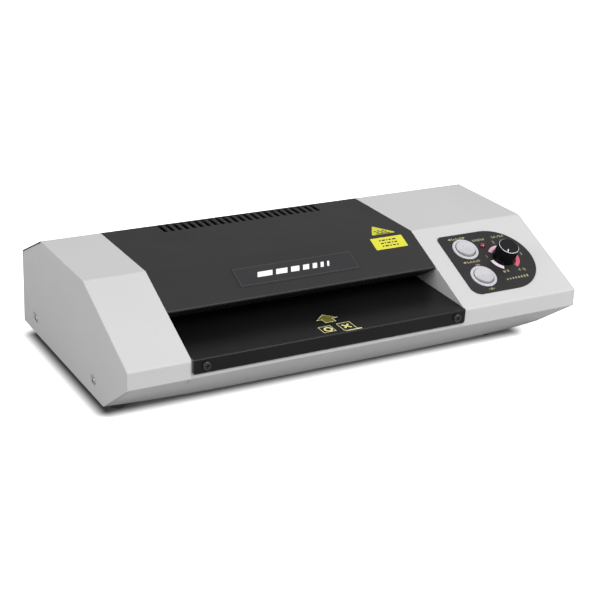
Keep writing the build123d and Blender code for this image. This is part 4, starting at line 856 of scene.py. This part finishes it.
# ------------------------------------------------------------------ stage and light
def math_node(tree, operation, first, second=0.0):
    """A maths node fed by sockets or numbers."""
    node = tree.nodes.new("ShaderNodeMath")
    node.operation = operation
    for socket, value in zip(node.inputs, (first, second)):
        if isinstance(value, bpy.types.NodeSocket):
            tree.links.new(value, socket)
        else:
            socket.default_value = value
    return node.outputs["Value"]


FLOOR_TONE = 0.52
FLOOR_CLOUDS = 0.98
FLOOR_HALF = 6.0
SHADE_TONE = 0.05
# the contact shadow is full at the left end and weaker a twelfth of the way along
SHADE_LEFT, SHADE_RIGHT = 1.0, 0.36
SHADE_RUN = 12
SHADOW_REACH = 19 * MM
# how far the full shade stays inside the pan: left, right, front, rear
SHADOW_INSET = (1 * MM, 26 * MM, 10 * MM, 22 * MM)
SKY_LOW = 0.3
SKY_HIGH = 1.4
# each soft lamp: place, size and power
LAMPS = {
    "key": ((0.75, -1.5, 1.75), (1.4, 1.1), 68),
    "front": ((0.9, -2.1, 0.5), (1.6, 0.7), 20),
    "fill": ((-2.2, -0.3, 0.9), (1.2, 1.0), 35),
}
LAMP_TARGET = Vector((0, 0, 0.05))


def paper_floor():
    """Pale paper, lifted to white in the picture beyond a painted contact shadow."""
    paper = Shader("floor_paper", grey(FLOOR_TONE), 0.9, specular=0.1)
    paper.tint(paper.noise(3, 2), grey(FLOOR_TONE * FLOOR_CLOUDS))
    tree = paper.tree
    pan_low, pan_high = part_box("base_pan")
    under = [v.co for v in nodes["base_pan"].data.vertices if v.co.z < pan_low.z + MM]
    left = pan_low.x + SHADOW_INSET[0]
    right_end = pan_high.x - SHADOW_INSET[1]
    front = min(spot.y for spot in under) + SHADOW_INSET[2]
    rear = pan_high.y - SHADOW_INSET[3]
    middle = ((left + right_end) / 2, (front + rear) / 2)
    half = ((right_end - left) / 2, (rear - front) / 2)
    axes = tree.nodes.new("ShaderNodeSeparateXYZ")
    tree.links.new(paper.place, axes.inputs["Vector"])
    outside = []
    for axis in (0, 1):
        off = math_node(tree, "SUBTRACT", axes.outputs[axis], middle[axis])
        past = math_node(tree, "SUBTRACT", math_node(tree, "ABSOLUTE", off), half[axis])
        outside.append(math_node(tree, "MAXIMUM", past, 0.0))
    squares = [math_node(tree, "POWER", side, 2.0) for side in outside]
    distance = math_node(tree, "SQRT", math_node(tree, "ADD", *squares))
    clear = paper.ranged(distance, 0.0, SHADOW_REACH, 0.0, 1.0)
    clear.node.interpolation_type = "SMOOTHSTEP"
    seen = tree.nodes.new("ShaderNodeLightPath").outputs["Is Camera Ray"]
    shade = math_node(tree, "MULTIPLY", math_node(tree, "SUBTRACT", 1.0, clear), seen)
    weaker_from = left + (right_end - left) / SHADE_RUN
    depth = paper.ranged(axes.outputs[0], left, weaker_from, SHADE_LEFT, SHADE_RIGHT)
    paper.tint(math_node(tree, "MULTIPLY", shade, depth), grey(SHADE_TONE), 0.0, 1.0)
    lift = math_node(tree, "MULTIPLY", clear, seen)
    paper.bsdf.inputs["Emission Color"].default_value = (1, 1, 1, 1)
    tree.links.new(lift, paper.bsdf.inputs["Emission Strength"])
    return paper.material


def softbox(name, at, size, power):
    """A rectangular lamp that faces the object."""
    data = bpy.data.lights.new(name, "AREA")
    data.shape = "RECTANGLE"
    data.size = size[0]
    data.size_y = size[1]
    data.energy = power
    lamp = bpy.data.objects.new(name, data)
    aim = Vector(at) - LAMP_TARGET
    lamp.matrix_world = plane_matrix(Vector(at), Vector((0, 0, 1)).cross(aim), aim)
    bpy.context.scene.collection.objects.link(lamp)


def build_floor():
    mesh = bpy.data.meshes.new("floor")
    shape = bmesh.new()
    bmesh.ops.create_grid(shape, x_segments=8, y_segments=8, size=FLOOR_HALF)
    shape.to_mesh(mesh)
    shape.free()
    floor = bpy.data.objects.new("floor", mesh)
    bpy.context.scene.collection.objects.link(floor)
    mesh.materials.append(paper_floor())


def build_sky():
    """Soft light from above, weaker towards the horizon, behind a white backdrop."""
    world = bpy.data.worlds.new("studio")
    bpy.context.scene.world = world
    world.use_nodes = True
    tree = world.node_tree
    direction = tree.nodes.new("ShaderNodeSeparateXYZ")
    skyward = tree.nodes.new("ShaderNodeTexCoord").outputs["Generated"]
    tree.links.new(skyward, direction.inputs["Vector"])
    height = math_node(tree, "MAXIMUM", direction.outputs["Z"], 0.0)
    glow = math_node(tree, "MULTIPLY", math_node(tree, "POWER", height, 2.0), SKY_HIGH)
    # what the picture shows of it is as white as the paper
    seen = tree.nodes.new("ShaderNodeLightPath").outputs["Is Camera Ray"]
    strength = math_node(tree, "MAXIMUM", math_node(tree, "ADD", glow, SKY_LOW), seen)
    background = tree.nodes["Background"]
    background.inputs["Color"].default_value = (1, 1, 1, 1)
    tree.links.new(strength, background.inputs["Strength"])


build_floor()
build_sky()
for name, (at, size, power) in LAMPS.items():
    softbox(name, at, size, power)
bpy.context.scene.view_settings.view_transform = "Standard"
